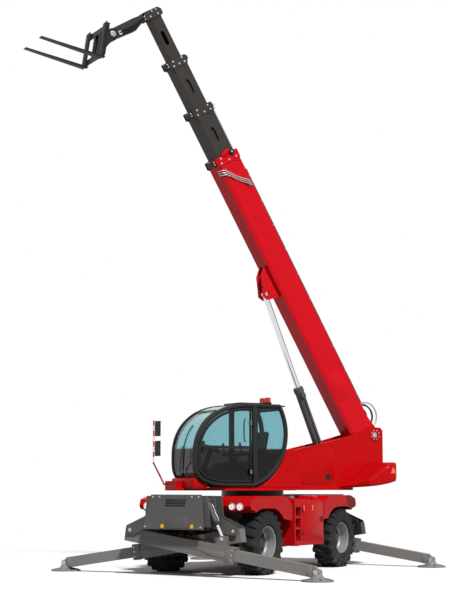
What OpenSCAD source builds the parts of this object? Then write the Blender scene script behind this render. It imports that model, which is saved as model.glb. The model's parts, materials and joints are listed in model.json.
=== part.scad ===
// Slewing telehandler on four stabilisers: all sizes in millimetres, +Z up.
// +X runs forward under the boom, +Y to the left of the slewing upper structure.

/* [Stance] */
// Turn of the chassis under the upper structure
chassis_heading = 30; // [0:1:60]
// Angle of the boom above the horizontal
boom_angle = 59.5; // [40:0.5:70]
// Angle of the tines above the horizontal
tine_tilt = 8.5; // [0:0.5:15]

/* [Wheels] */
// Outer radius of the tyre over its lugs
tyre_r = 570; // [540:5:590]
// Width of the tyre
tyre_w = 440; // [400:10:460]
// Height of a tread lug
lug_h = 32; // [20:1:40]
// Lugs in one row around a tyre
lug_count = 20; // [16:1:24]
// Radius of the rim at the tyre's bead
rim_r = 300; // [280:5:310]
// Distance between the axles
wheelbase = 3000; // [2900:10:3100]
// Distance between the tyres' middles on one axle
track = 1970; // [1940:10:2000]
// Distance between the steering pivots on one axle
kingpin_track = 1690; // [1650:5:1710]
// Radius of a wheel spindle
spindle_r = 55; // [45:1:65]

/* [Chassis] */
// Width of the main frame between the wheels
frame_w = 700; // [600:10:740]
// Underside of the main frame above the ground
frame_bottom = 800; // [790:5:850]
// Plate thickness of the frame and the stabiliser towers
plate_t = 30; // [20:1:36]
// Top of the fenders above the ground
fender_top = 1400; // [1380:5:1420]
// Half width over the side boxes
side_box_y = 1200; // [1160:5:1220]
// Front end of the side boxes, from the slew axis
side_box_front = 520; // [480:10:560]
// Rear end of the side boxes, from the slew axis
side_box_rear = 660; // [600:10:680]
// Underside of the side boxes
side_box_bottom = 480; // [440:10:520]
// Top of the side boxes
side_box_top = 1320; // [1280:10:1350]
// Sheet thickness of the covers
sheet_t = 12; // [8:1:16]
// Radius of the towing pin bore
tow_bore_r = 21; // [16:1:25]
// Thickness of the towing lug
tow_lug_t = 60; // [40:5:80]

/* [Stabilisers] */
// Front and rear plane of the outer pair of legs, from the slew axis
leg_plane_far = 2580; // [2560:5:2600]
// Front and rear plane of the inner pair of legs, from the slew axis
leg_plane_near = 2315; // [2300:5:2330]
// Distance of a leg's pivot from the middle of the chassis
leg_pivot_y = 1000; // [960:5:1020]
// Height of a leg's pivot
leg_pivot_z = 800; // [780:5:820]
// Length from a leg's pivot to its foot
leg_length = 3780; // [3700:10:3860]
// Drop of the leg's middle line below its pivot
leg_drop = 90; // [80:5:100]
// Depth of the sliding inner leg
inner_leg_h = 190; // [170:5:200]
// Width of the sliding inner leg
inner_leg_w = 130; // [110:5:140]
// Plate thickness of the legs
leg_t = 12; // [8:1:14]
// Space between the sliding leg and the outer leg
leg_gap = 12; // [8:1:14]
// Length of the outer leg beyond its pivot
outer_leg_l = 2180; // [2120:10:2220]
// Start of the inner leg, from the pivot
inner_leg_start = 1560; // [1540:10:1640]
// Radius of a foot plate
foot_r = 275; // [240:5:290]
// Height of the foot's hinge pin above the ground
foot_pin_z = 150; // [140:5:170]
// Distance of a jack's upper pin from the middle of the chassis
jack_top_y = 550; // [530:5:570]
// Height of a jack's upper pin
jack_top_z = 1330; // [1310:5:1350]
// Place of a jack's lower eye along the leg
jack_eye_along = 1890; // [1860:5:1920]
// Height of a jack's lower eye over the leg's pivot line
jack_eye_up = 150; // [145:1:160]
// Radius of a jack's barrel
jack_r = 50; // [42:1:56]
// Radius of a jack's rod
jack_rod_r = 28; // [22:1:32]

/* [Turret] */
// Radius of the slewing ring
ring_r = 600; // [560:10:640]
// Underside of the turret above the ground
turret_bottom = 1500; // [1480:5:1520]
// Thickness of the turret's base plate
turret_base_t = 55; // [45:5:60]
// Thickness of the turret's side plates
side_plate_t = 40; // [30:2:44]
// Distance of the boom's pivot behind the slew axis
pivot_back = 2800; // [2760:5:2840]
// Height of the boom's pivot
pivot_z = 2610; // [2590:5:2640]
// Radius of the boom's pivot pin
pivot_r = 60; // [50:1:70]
// Distance of the boom's middle plane to the right of the slew axis
boom_right = 115; // [100:1:115]
// Half width of the counterweight
counterweight_y = 960; // [900:10:1000]
// Distance of the counterweight's rear face behind the slew axis
tail_back = 3110; // [3080:5:3140]
// Top of the counterweight
counterweight_top = 2050; // [2000:10:2080]

/* [Cab] */
// Left face of the cab, from the slew axis
cab_left = 1145; // [1130:5:1180]
// Right face of the cab, from the slew axis
cab_right = 190; // [180:5:210]
// Top of the cab's roof
cab_top = 3110; // [3080:5:3140]
// Radius of the cab's front in side view
cab_front_r = 1253; // [1240:1:1265]
// Radius of the cab's back in side view
cab_rear_r = 1037; // [1030:1:1045]
// Wall thickness of the cab and its door
cab_wall = 55; // [45:1:60]
// Rear edge of the door, from the slew axis
door_rear = 660; // [640:5:680]
// Height of the bar across the door
door_bar_z = 2270; // [2240:5:2300]
// Thickness of the glass
glass_t = 8; // [6:1:10]

/* [Boom] */
// Depth of the outer boom section
boom_h = 530; // [510:5:540]
// Width of the outer boom section
boom_w = 420; // [400:5:424]
// Wall thickness of the boom sections
boom_wall = 12; // [10:1:14]
// Room between one boom section and the next
boom_gap = 28; // [24:1:30]
// Drop of the boom's middle line below its pivot
boom_drop = 200; // [180:5:210]
// Length of the outer section in front of the pivot
boom_1_l = 6450; // [6350:10:6550]
// Length of each inner section that shows
boom_out = 1050; // [1000:10:1100]
// Rear end of the second section, from the pivot
boom_2_rear = 1300; // [1250:10:1350]
// Distance that each inner section can still draw in
draw_in = 850; // [800:10:900]
// Distance of the tines' pivot below the boom's pivot line
nose_drop = 1220; // [1180:10:1260]
// Place of the tines' pivot, ahead of the middle of the nose
nose_ahead = 30; // [0:5:60]

/* [Lift cylinder] */
// Distance of the cylinder's base pin behind the slew axis
lift_base_back = 1870; // [1850:5:1890]
// Height of the cylinder's base pin
lift_base_z = 1720; // [1710:5:1740]
// Place of the rod's eye along the boom
lift_eye_along = 3610; // [3560:10:3660]
// Distance of the rod's eye below the boom's pivot line
lift_eye_drop = 700; // [690:5:710]
// Outer radius of the barrel
lift_r = 90; // [80:1:96]
// Radius of the rod
lift_rod_r = 56; // [46:1:60]
// Length of the barrel from its pin
lift_barrel_l = 1950; // [1900:10:2000]

/* [Forks] */
// Length of a tine in front of its shank
tine_l = 1200; // [1000:10:1300]
// Width of a tine
tine_w = 120; // [90:5:140]
// Thickness of a tine at its heel
tine_t = 50; // [40:1:56]
// Distance between the tines' middles
tine_spacing = 780; // [640:10:820]
// Height of the tine's shank
shank_h = 700; // [640:10:740]
// Distance of the carriage plate in front of its pivot
carriage_ahead = 235; // [225:5:250]
// Width of the carriage
carriage_w = 960; // [920:10:1000]
// Distance of the tines' underside below the carriage's pivot
carriage_drop = 660; // [640:5:680]

/* [Fits] */
// Gap at pins, rods and slide pads
pin_gap = 0.3; // [0.2:0.05:0.5]
// Clear room around a moving piece
move_gap = 8; // [6:0.5:10]

/* [Hidden] */
$fn = 160;

red = [0.78, 0.05, 0.08];
dark = [0.20, 0.20, 0.21];
black = [0.06, 0.06, 0.06];
chrome = [0.80, 0.81, 0.83];
rim_grey = [0.62, 0.63, 0.64];
amber = [0.95, 0.45, 0.05];
lens = [0.92, 0.93, 0.95];
glass_blue = [0.55, 0.75, 0.80, 0.4];
// A cut runs this far past the face it opens
past = 20;

// Corner signs: along the chassis, and to the left
corner_fl = [1, 1];
corner_fr = [1, -1];
corner_rl = [-1, 1];
corner_rr = [-1, -1];

// Boom sections, from the outer one to the inner one
function section_h(i) = boom_h - 2 * i * (boom_wall + boom_gap);
function section_w(i) = boom_w - 2 * i * (boom_wall + boom_gap);
function section_front(i) = boom_1_l + i * boom_out;
function section_rear(i) = i == 0 ? -150 : boom_2_rear + (i - 1) * (draw_in + 50);
boom_y = -boom_right;
nose_mid = section_front(3) - 160;
tine_pivot_l = nose_mid + nose_ahead;

// Height of the boom's pivot line at a place along it, and a point of the boom in the upper frame
function boom_x(along, up) = -pivot_back + along * cos(boom_angle) - up * sin(boom_angle);
function boom_z(along, up) = pivot_z + along * sin(boom_angle) + up * cos(boom_angle);
tine_pivot_x = boom_x(tine_pivot_l, -nose_drop);
tine_pivot_z = boom_z(tine_pivot_l, -nose_drop);
shank_x = carriage_ahead + plate_t;
tine_reach = shank_x + tine_t + tine_l;
fork_tip_x = tine_pivot_x + tine_reach * cos(tine_tilt) + carriage_drop * sin(tine_tilt);

// Lift cylinder between its base pin and the rod's eye
lift_eye_x = boom_x(lift_eye_along, -lift_eye_drop);
lift_eye_z = boom_z(lift_eye_along, -lift_eye_drop);
lift_run = lift_eye_x + lift_base_back;
lift_rise = lift_eye_z - lift_base_z;
lift_length = sqrt(lift_run * lift_run + lift_rise * lift_rise);
lift_angle = atan2(lift_rise, lift_run);
lift_pin_r = 45;
lift_rod_in = 390;
lift_base_w = 180;
lift_eye_w = 2 * lift_rod_r + 8;

// Stabiliser legs: the slope that puts the foot on the ground
leg_slope = asin((leg_pivot_z - foot_pin_z) / sqrt(leg_length * leg_length + leg_drop * leg_drop))
    - atan2(leg_drop, leg_length);
function leg_y(along, up) = -leg_pivot_y + along * cos(leg_slope) + up * sin(leg_slope);
function leg_z(along, up) = leg_pivot_z - along * sin(leg_slope) + up * cos(leg_slope);
foot_y = leg_y(leg_length, -leg_drop);
outer_leg_h = inner_leg_h + 2 * (leg_t + leg_gap);
outer_leg_w = inner_leg_w + 2 * (leg_t + leg_gap);
leg_pin_r = 40;
jack_run = leg_y(jack_eye_along, jack_eye_up) - jack_top_y;
jack_fall = jack_top_z - leg_z(jack_eye_along, jack_eye_up);
jack_length = sqrt(jack_run * jack_run + jack_fall * jack_fall);
jack_slope = atan2(jack_fall, jack_run);
jack_pin_r = 24;
jack_eye_r = 46;
jack_barrel_l = 470;
jack_rod_l = 500;
jack_eye_w = 60;

// The slew axis stands where the middle of the whole outline falls on the origin
foot_back = leg_plane_near * cos(chassis_heading) + foot_y * sin(chassis_heading) + foot_r;
slew_x = -(fork_tip_x - foot_back) / 2;

// Cab outline in side view: front disc, rear disc, floor and roof
cab_bottom = turret_bottom + turret_base_t;
block_front = 1990;
cab_front_x = 624;
cab_front_z = 2076;
cab_rear_x = 908;
cab_rear_z = 2555;
cab_rim = 75;
hinge_r = 16;
door_gap = 6;
hinge_y = cab_left + hinge_r + door_gap;

wheel_x = wheelbase / 2;
bead_in = 40;
lug_split = 8;
fender_gap = 60;
fender_nose = 640;
frame_top = side_box_top + past / 2;
ring_top = turret_bottom - pin_gap;
ring_h = 110;
tower_back = leg_plane_near - outer_leg_w / 2 - move_gap - plate_t;
tower_mid = (leg_plane_near + leg_plane_far) / 2 - plate_t / 2;
tower_front = leg_plane_far + outer_leg_w / 2 + move_gap;

kingpin_r = 38;
yoke_low = 112;
yoke_top = 165;

quarter_sill = 2000;
screen_sill = 1740;
screen_head = 3050;
rear_sill = 2330;
rear_head = 2980;

hinge_levels = [1750, 2650];
hinge_pin_r = 8;
hinge_h = 60;
hinge_x = door_rear - 20;
door_frame = 60;
pillar_w = 70;
glass_fit = 0.4;
glass_in = 12;
ring_out = 18;

bevel = 60;

tine_pin_r = 40;
nose_w = 150;
collar_t = 14;
collar_l = boom_out - draw_in - 25;
pad_l = 180;
pad_end = 20;

ext_rod_r = 30;
ext_barrel_r = 55;
ext_rod_z = boom_h / 2 - boom_drop + ext_barrel_r + pin_gap;
// Hoses behind the boom's foot: radius, middle along the boom, then place and bend of each loop
hose_r = 14;
hose_mid = 400;
hose_loops = [[-90, 190], [-15, 270], [60, 230], [130, 285]];

// Lamps at the noses of the fenders
lamp_r = 58;
lamp_t = 22;
pod_l = 24;
lamp_places = [830, 990];
lamp_x = wheel_x + fender_nose;
lamp_z = fender_top - 170 - 0.2 * lamp_r;

// Frames of reference
module upper() {
    translate([slew_x, 0, 0])
        children();
}

module lower() {
    translate([slew_x, 0, 0])
        rotate(chassis_heading)
            children();
}

module boom_frame() {
    upper()
        translate([-pivot_back, boom_y, pivot_z])
            rotate([0, -boom_angle, 0])
                children();
}

module carriage_frame() {
    upper()
        translate([tine_pivot_x, boom_y, tine_pivot_z])
            rotate([0, -tine_tilt, 0])
                children();
}

module lift_frame() {
    upper()
        translate([-lift_base_back, boom_y, lift_base_z])
            rotate([0, -lift_angle, 0])
                children();
}

// One corner of the chassis, built as the front left one
module corner(side) {
    lower()
        rotate(side.x > 0 ? 0 : 180)
            mirror([0, side.x * side.y > 0 ? 0 : 1, 0])
                children();
}

function leg_plane(side) = side.x * side.y > 0 ? leg_plane_far : leg_plane_near;

module leg_frame(side) {
    corner(side)
        translate([leg_plane(side), -leg_pivot_y, leg_pivot_z])
            rotate([0, 0, 90])
                rotate([0, leg_slope, 0])
                    children();
}

module jack_frame(side) {
    corner(side)
        translate([leg_plane(side), jack_top_y, jack_top_z])
            rotate([0, 0, 90])
                rotate([0, jack_slope, 0])
                    children();
}

// Slabs: an outline in side view, in front view or in plan, given thickness
module side_slab(y_low, y_high) {
    translate([0, y_high, 0])
        rotate([90, 0, 0])
            linear_extrude(y_high - y_low)
                children();
}

module cross_slab(x_low, x_high) {
    translate([x_low, 0, 0])
        rotate([90, 0, 90])
            linear_extrude(x_high - x_low)
                children();
}

module plan_slab(z_low, z_high) {
    translate([0, 0, z_low])
        linear_extrude(z_high - z_low)
            children();
}

module box(low, high) {
    translate(low)
        cube(high - low);
}

module rod_x(r, x_low, x_high, y, z) {
    translate([x_low, y, z])
        rotate([0, 90, 0])
            cylinder(r = r, h = x_high - x_low);
}

module rod_y(r, y_low, y_high, x, z) {
    translate([x, y_low, z])
        rotate([-90, 0, 0])
            cylinder(r = r, h = y_high - y_low);
}

module rod_z(r, z_low, z_high, x, y) {
    translate([x, y, z_low])
        cylinder(r = r, h = z_high - z_low);
}

// Wheels

module tyre(side) {
    half = tyre_w / 2;
    bead = half - bead_in;
    carcass_r = tyre_r - lug_h;
    shoulder = 50;
    bulge = 60;
    color(black)
        wheel_frame(side) {
            rotate([-90, 0, 0])
                rotate_extrude()
                    polygon([
                        [rim_r, -bead], [rim_r + bulge, -half], [carcass_r - shoulder, -half],
                        [carcass_r, -half + shoulder], [carcass_r, half - shoulder],
                        [carcass_r - shoulder, half], [rim_r + bulge, half], [rim_r, bead]
                    ]);
            lug_row(half, carcass_r - shoulder, 0);
            lug_row(-half, carcass_r - shoulder, 0.5);
        }
}

// One row of tread lugs: a toothed ring from near the middle to the tyre's edge
module lug_row(edge, root_r, shift) {
    middle = edge > 0 ? lug_split : -lug_split;
    end = edge > 0 ? edge - lug_split : edge + lug_split;
    pitch = 360 / lug_count;
    root_share = 0.29;
    top_share = 0.24;
    side_slab(min(middle, end), max(middle, end))
        difference() {
            polygon([
                for (k = [0 : lug_count - 1])
                    for (p = [[-0.5, root_r], [-root_share, root_r], [-top_share, tyre_r], [top_share, tyre_r],
                        [root_share, root_r]])
                        p.y * [cos((k + shift + p.x) * pitch), sin((k + shift + p.x) * pitch)]
            ]);
            circle(r = root_r - lug_h);
        }
}

module wheel_frame(side) {
    lower()
        translate([side.x * wheel_x, side.y * track / 2, tyre_r])
            mirror([0, side.y > 0 ? 0 : 1, 0])
                children();
}

module rim(side) {
    seat = rim_r - pin_gap;
    bead = tyre_w / 2 - bead_in;
    well = 26;
    disc_y = -20;
    disc_t = 30;
    hub_r = 115;
    hub_out = 90;
    color(rim_grey)
        wheel_frame(side)
            rotate([-90, 0, 0])
                rotate_extrude()
                    polygon([
                        [spindle_r + pin_gap, disc_y - disc_t], [spindle_r + pin_gap, hub_out - disc_t],
                        [hub_r - 20, hub_out - disc_t], [hub_r, hub_out - 2 * disc_t], [hub_r, disc_y],
                        [seat - 2 * well, disc_y], [seat - well, disc_y + well], [seat - well, bead - 20],
                        [seat - 10, bead], [seat, bead], [seat, -bead], [seat - 10, -bead],
                        [seat - well, -bead + 20], [seat - well, disc_y - disc_t - well],
                        [seat - 2 * well, disc_y - disc_t]
                    ]);
}

module knuckle(side) {
    arm_y = kingpin_track / 2 - track / 2;
    spindle_end = 40;
    body_r = 78;
    body_h = 105;
    color(dark)
        wheel_frame(side) {
            rod_z(kingpin_r, -yoke_top, yoke_top, 0, arm_y);
            rod_z(body_r, -body_h, body_h, 0, arm_y);
            rod_y(body_r, arm_y, -60, 0, 0);
            rod_y(spindle_r, -70, spindle_end, 0, 0);
        }
}

module axle(end) {
    tube_r = 92;
    yoke_x = 75;
    yoke_y = kingpin_track / 2;
    web_y = yoke_y - 92;
    web_t = 40;
    yoke_t = yoke_top - yoke_low;
    drum_r = 190;
    drum_w = 190;
    seat_w = 120;
    color(dark)
        lower()
            translate([end * wheel_x, 0, tyre_r]) {
                difference() {
                    union() {
                        rod_y(tube_r, -web_y, web_y, 0, 0);
                        rod_y(drum_r, -drum_w, drum_w, 0, 0);
                        rod_x(tube_r, -end * drum_r - seat_w, -end * drum_r + seat_w, 0, 0);
                        for (hand = [-1, 1]) {
                            mirror([0, hand > 0 ? 0 : 1, 0]) {
                                box([-seat_w, frame_w / 2 - seat_w, tube_r / 2],
                                    [seat_w, frame_w / 2, frame_bottom - tyre_r]);
                                box([-yoke_x, web_y - web_t, -yoke_top], [yoke_x, web_y, yoke_top]);
                                for (level = [-yoke_top, yoke_low]) {
                                    box([-yoke_x, web_y - web_t, level], [yoke_x, yoke_y, level + yoke_t]);
                                    rod_z(yoke_x, level, level + yoke_t, 0, yoke_y);
                                }
                            }
                        }
                    }
                    for (hand = [-1, 1]) {
                        rod_z(kingpin_r + pin_gap, -yoke_top - past, yoke_top + past, 0, hand * yoke_y);
                    }
                }
            }
}

module front_axle() axle(1);
module rear_axle() axle(-1);

// Chassis

// Upright plate across the end of the chassis that holds leg pivots and jack pins
module tower_plate(x, arm_left, arm_right) {
    half_top = jack_top_y + 80;
    top_z = jack_top_z + 80;
    low_z = leg_pivot_z + 70;
    arm_y = leg_pivot_y + 80;
    cross_slab(x, x + plate_t)
        polygon([[-half_top, top_z], [half_top, top_z], [half_top + 60, low_z], [-half_top - 60, low_z]]);
    for (hand = [-1, 1]) {
        if (hand < 0 ? arm_right : arm_left) {
            cross_slab(x, x + plate_t)
                polygon([
                    [hand * half_top, low_z + 200], [hand * arm_y, leg_pivot_z + 80],
                    [hand * arm_y, leg_pivot_z - 70], [hand * (arm_y - 170), leg_pivot_z - 70],
                    [hand * (half_top - 130), low_z]
                ]);
        }
    }
}

module tower() {
    beam_drop = 330;
    beam_rise = 50;
    difference() {
        union() {
            tower_plate(tower_back, true, false);
            tower_plate(tower_mid, true, true);
            tower_plate(tower_front, false, true);
            box([tower_back, -frame_w / 2, jack_top_z - beam_drop],
                [tower_front + plate_t, frame_w / 2, jack_top_z + beam_rise]);
            box([tower_back - 2 * plate_t, -frame_w / 2, frame_bottom],
                [tower_back + past, frame_w / 2, frame_top]);
        }
        rod_x(leg_pin_r + pin_gap, tower_mid - past, tower_front + plate_t + past, -leg_pivot_y, leg_pivot_z);
        rod_x(leg_pin_r + pin_gap, tower_back - past, tower_mid + plate_t + past, leg_pivot_y, leg_pivot_z);
    }
    rod_x(jack_pin_r, tower_mid + plate_t / 2, tower_front + plate_t / 2, jack_top_y, jack_top_z);
    rod_x(jack_pin_r, tower_back + plate_t / 2, tower_mid + plate_t / 2, -jack_top_y, jack_top_z);
}

module tow_lug(end) {
    lug_r = 75;
    root = tower_front + plate_t - 5;
    out = root + 130;
    z = jack_top_z - 240;
    rotate(end > 0 ? 0 : 180)
        difference() {
            union() {
                box([root, -lug_r, z], [out, lug_r, z + tow_lug_t]);
                rod_z(lug_r, z, z + tow_lug_t, out, 0);
            }
            rod_z(tow_bore_r, z - past, z + tow_lug_t + past, out, 0);
        }
}

module chassis_frame() {
    ring_seat_r = ring_r - 30;
    color(dark)
        lower() {
            box([-tower_back, -frame_w / 2, frame_bottom], [tower_back, frame_w / 2, frame_top]);
            rod_z(ring_seat_r, side_box_top, ring_top - ring_h, 0, 0);
            tower();
            rotate(180)
                tower();
            tow_lug(-1);
        }
}

module slew_ring() {
    color(dark)
        lower()
            rod_z(ring_r, ring_top - ring_h, ring_top, 0, 0);
}

module front_guard() {
    lean = 11;
    guard_h = 620;
    guard_t = 24;
    top_half = 530;
    low_half = 640;
    top_z = jack_top_z + 100;
    rib_y = 300;
    rib_top = 30;
    rib_h = 400;
    panel_half = 230;
    panel_top = 80;
    panel_low = 230;
    color(dark)
        lower()
            translate([tower_front + plate_t, 0, top_z]) {
                rotate([0, -lean, 0])
                    difference() {
                        cross_slab(0, guard_t)
                            polygon([
                                [-top_half, 0], [top_half, 0], [low_half, -guard_h], [-low_half, -guard_h]
                            ]);
                        box([guard_t / 2, -panel_half, -panel_low], [guard_t + past, panel_half, -panel_top]);
                    }
                for (hand = [-1, 1]) {
                    side_slab(hand * rib_y - plate_t / 2, hand * rib_y + plate_t / 2)
                        polygon([
                            [0, -rib_top], [0, -rib_h], [rib_h * tan(lean) + guard_t / 2, -rib_h],
                            [rib_top * tan(lean) + guard_t / 2, -rib_top]
                        ]);
                }
            }
}

module fenders() {
    color(red)
        lower()
            for (hand = [-1, 1]) {
                mirror([0, hand > 0 ? 0 : 1, 0]) {
                    fender(side_box_front + fender_gap);
                    mirror([1, 0, 0])
                        fender(side_box_rear + fender_gap);
                }
            }
}

// Outline of a fender in side view, drawn in by the thickness of its sheet
module fender_outline(tail_x, inset) {
    nose_x = wheel_x + fender_nose - inset;
    tail = tail_x + inset;
    top = fender_top - inset;
    polygon([
        [tail, tyre_r + 380], [tail, top - 160], [tail + 190, top - 10], [tail + 330, top],
        [nose_x - 260, top], [nose_x - 40, top - 60], [nose_x, top - 170], [nose_x - 30, top - 230],
        [nose_x - 170, tyre_r + 570], [nose_x - 200, tyre_r + 540], [tail + 60, tyre_r + 380]
    ]);
}

// Room that the wheel sweeps when it is steered
module wheel_room() {
    reach = [[640, 0], [640, 370], [520, 490], [400, 560], [240, 610]];
    polygon([
        for (p = reach) [wheel_x - p.x, tyre_r + p.y],
        for (k = [len(reach) - 1 : -1 : 0]) [wheel_x + reach[k].x, tyre_r + reach[k].y]
    ]);
}

// Guard over one wheel, open below, with a nose that holds the lamps
module fender(tail_x) {
    outer_y = track / 2 + tyre_w / 2 - 20;
    difference() {
        side_slab(frame_w / 2, outer_y)
            fender_outline(tail_x, 0);
        side_slab(frame_w / 2 - past, outer_y - sheet_t)
            fender_outline(tail_x, sheet_t);
        side_slab(frame_w / 2 - past, outer_y + past)
            wheel_room();
    }
}

module chassis_lamps() {
    lamp_back = lamp_x + pod_l + pin_gap;
    color(lens)
        lower()
            for (end = [-1, 1]) {
                for (hand = [-1, 1]) {
                    for (place = lamp_places) {
                        mirror([end > 0 ? 0 : 1, 0, 0])
                            rod_x(lamp_r, lamp_back, lamp_back + lamp_t, hand * place, lamp_z);
                    }
                }
            }
}

module lamp_pods() {
    rim = 22;
    color(black)
        lower()
            for (end = [-1, 1]) {
                for (hand = [-1, 1]) {
                    mirror([end > 0 ? 0 : 1, 0, 0]) {
                        for (place = lamp_places) {
                            rod_x(lamp_r + rim, lamp_x + pin_gap, lamp_x + pod_l, hand * place, lamp_z);
                        }
                        mirror([0, hand > 0 ? 0 : 1, 0])
                            box([lamp_x + pin_gap, lamp_places[0], lamp_z - lamp_r - rim],
                                [lamp_x + pod_l, lamp_places[1], lamp_z + lamp_r + rim]);
                    }
                }
            }
}

module tank_box() {
    step_in = 150;
    step_l = 250;
    tread_t = 40;
    step_low = side_box_bottom + 90;
    step_top = side_box_top - 130;
    step_rise = (step_top - step_low) / 3;
    filler_r = 70;
    filler_h = 45;
    color(red)
        lower() {
            difference() {
                box([-side_box_rear, frame_w / 2, side_box_bottom], [side_box_front, side_box_y, side_box_top]);
                box([side_box_front - step_l, side_box_y - step_in, step_low],
                    [side_box_front - tread_t, side_box_y + past, step_top]);
            }
            for (level = [step_low + step_rise, step_low + 2 * step_rise]) {
                box([side_box_front - step_l - 5, side_box_y - step_in - 5, level],
                    [side_box_front - tread_t + 5, side_box_y - 10, level + tread_t]);
            }
            for (place = [side_box_front - 2 * filler_r, 2 * filler_r - side_box_rear]) {
                rod_z(filler_r, side_box_top - 5, side_box_top + filler_h, place, side_box_y - 2 * filler_r);
            }
        }
}

module engine_cover() {
    slot_h = 24;
    color(red)
        lower()
            difference() {
                box([-side_box_rear, -side_box_y, side_box_bottom],
                    [side_box_front, -frame_w / 2, side_box_top]);
                box([-side_box_rear + sheet_t, -side_box_y + sheet_t, side_box_bottom - past],
                    [side_box_front - sheet_t, -frame_w / 2 + past, side_box_top - sheet_t]);
                for (level = [side_box_top - 400 : 3 * slot_h : side_box_top - 100]) {
                    box([-side_box_rear + 150, -side_box_y - past, level],
                        [side_box_front - 150, -side_box_y + sheet_t + past, level + slot_h]);
                }
            }
}

module engine() {
    room = 90;
    color(dark)
        lower()
            box([-side_box_rear + room, -side_box_y + room, side_box_bottom + room],
                [side_box_front - room, -frame_w / 2, side_box_top - room]);
}

// Stabilisers

module leg_outer(side) {
    root = 120;
    mid = -leg_drop;
    flare = 20;
    band_l = 70;
    band_t = 8;
    band_y = outer_leg_w / 2 + band_t;
    color(dark)
        leg_frame(side) {
            difference() {
                union() {
                    side_slab(-outer_leg_w / 2, outer_leg_w / 2)
                        polygon([
                            [-root, mid - outer_leg_h / 2], [outer_leg_l, mid - outer_leg_h / 2 - flare],
                            [outer_leg_l, mid + outer_leg_h / 2 + flare / 2], [-root, mid + outer_leg_h / 2]
                        ]);
                    box([outer_leg_l - band_l, -band_y, mid - outer_leg_h / 2 - flare - band_t],
                        [outer_leg_l, band_y, mid + outer_leg_h / 2 + flare / 2 + band_t]);
                }
                box([root, -inner_leg_w / 2 - leg_gap, mid - inner_leg_h / 2 - leg_gap],
                    [outer_leg_l + past, inner_leg_w / 2 + leg_gap, mid + inner_leg_h / 2 + leg_gap]);
            }
            rod_y(leg_pin_r, -outer_leg_w / 2 - move_gap - plate_t, outer_leg_w / 2 + move_gap + plate_t, 0, 0);
            slide_pads(outer_leg_l - pad_l, outer_leg_l - pad_end, inner_leg_w, inner_leg_h, leg_gap, mid);
            for (hand = [-1, 1]) {
                mirror([0, hand > 0 ? 0 : 1, 0])
                    jack_ear(mid + outer_leg_h / 2);
            }
        }
}

// Bearing pads inside the mouth of an outer section, a hair off the sliding one
module slide_pads(x_low, x_high, w, h, gap, mid) {
    bite = 2;
    for (hand = [-1, 1]) {
        box([x_low, hand > 0 ? w / 2 + pin_gap : -w / 2 - gap - bite, mid - h / 4],
            [x_high, hand > 0 ? w / 2 + gap + bite : -w / 2 - pin_gap, mid + h / 4]);
        box([x_low, -w / 4, hand > 0 ? mid + h / 2 + pin_gap : mid - h / 2 - gap - bite],
            [x_high, w / 4, hand > 0 ? mid + h / 2 + gap + bite : mid - h / 2 - pin_gap]);
    }
}

module jack_ear(base_z) {
    ear_r = 55;
    ear_t = 20;
    inside = jack_eye_w / 2 + move_gap;
    difference() {
        side_slab(inside, inside + ear_t)
            polygon([
                [jack_eye_along - 2 * ear_r, base_z - 5], [jack_eye_along + 2 * ear_r, base_z - 5],
                [jack_eye_along + ear_r, jack_eye_up + ear_r], [jack_eye_along - ear_r, jack_eye_up + ear_r]
            ]);
        rod_y(jack_pin_r, inside - past, inside + ear_t + past, jack_eye_along, jack_eye_up);
    }
}

module leg_inner(side) {
    mid = -leg_drop;
    neck_r = 60;
    hub_r = 140;
    plate = 25;
    cap = 60;
    rib_t = 16;
    color(dark) {
        leg_frame(side) {
            difference() {
                box([inner_leg_start, -inner_leg_w / 2, mid - inner_leg_h / 2],
                    [leg_length - neck_r, inner_leg_w / 2, mid + inner_leg_h / 2]);
                box([inner_leg_start - past, -inner_leg_w / 2 + leg_t, mid - inner_leg_h / 2 + leg_t],
                    [leg_length - neck_r - cap, inner_leg_w / 2 - leg_t, mid + inner_leg_h / 2 - leg_t]);
            }
            side_slab(-inner_leg_w / 4, inner_leg_w / 4)
                polygon([
                    [leg_length - neck_r - 5, mid - inner_leg_h / 2], [leg_length, mid - neck_r],
                    [leg_length + neck_r, mid], [leg_length, mid + neck_r],
                    [leg_length - neck_r - 5, mid + inner_leg_h / 2]
                ]);
        }
        corner(side)
            translate([leg_plane(side), foot_y, 0]) {
                cylinder(r = foot_r, h = plate);
                translate([0, 0, plate - 1])
                    cylinder(r1 = hub_r, r2 = neck_r, h = foot_pin_z - plate);
                rod_x(neck_r, -inner_leg_w / 2, inner_leg_w / 2, 0, foot_pin_z);
                for (turn = [45 : 90 : 315]) {
                    rotate(turn)
                        side_slab(-rib_t / 2, rib_t / 2)
                            polygon([
                                [neck_r, plate - 1], [0.85 * foot_r, plate - 1], [0.85 * foot_r, plate + rib_t],
                                [hub_r / 2, foot_pin_z / 2]
                            ]);
                }
            }
    }
}

module jack_barrel(side) {
    wall = 10;
    bore = 70;
    color(dark)
        jack_frame(side)
            difference() {
                union() {
                    rod_x(jack_r, jack_eye_r, jack_barrel_l, 0, 0);
                    rod_y(jack_eye_r, -jack_eye_w / 2, jack_eye_w / 2, 0, 0);
                    box([0, -jack_eye_w / 2, -jack_eye_r / 2],
                        [jack_eye_r + wall, jack_eye_w / 2, jack_eye_r / 2]);
                }
                rod_x(jack_rod_r + pin_gap, bore, jack_barrel_l + past, 0, 0);
                rod_y(jack_pin_r + pin_gap, -jack_eye_w, jack_eye_w, 0, 0);
            }
}

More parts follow.
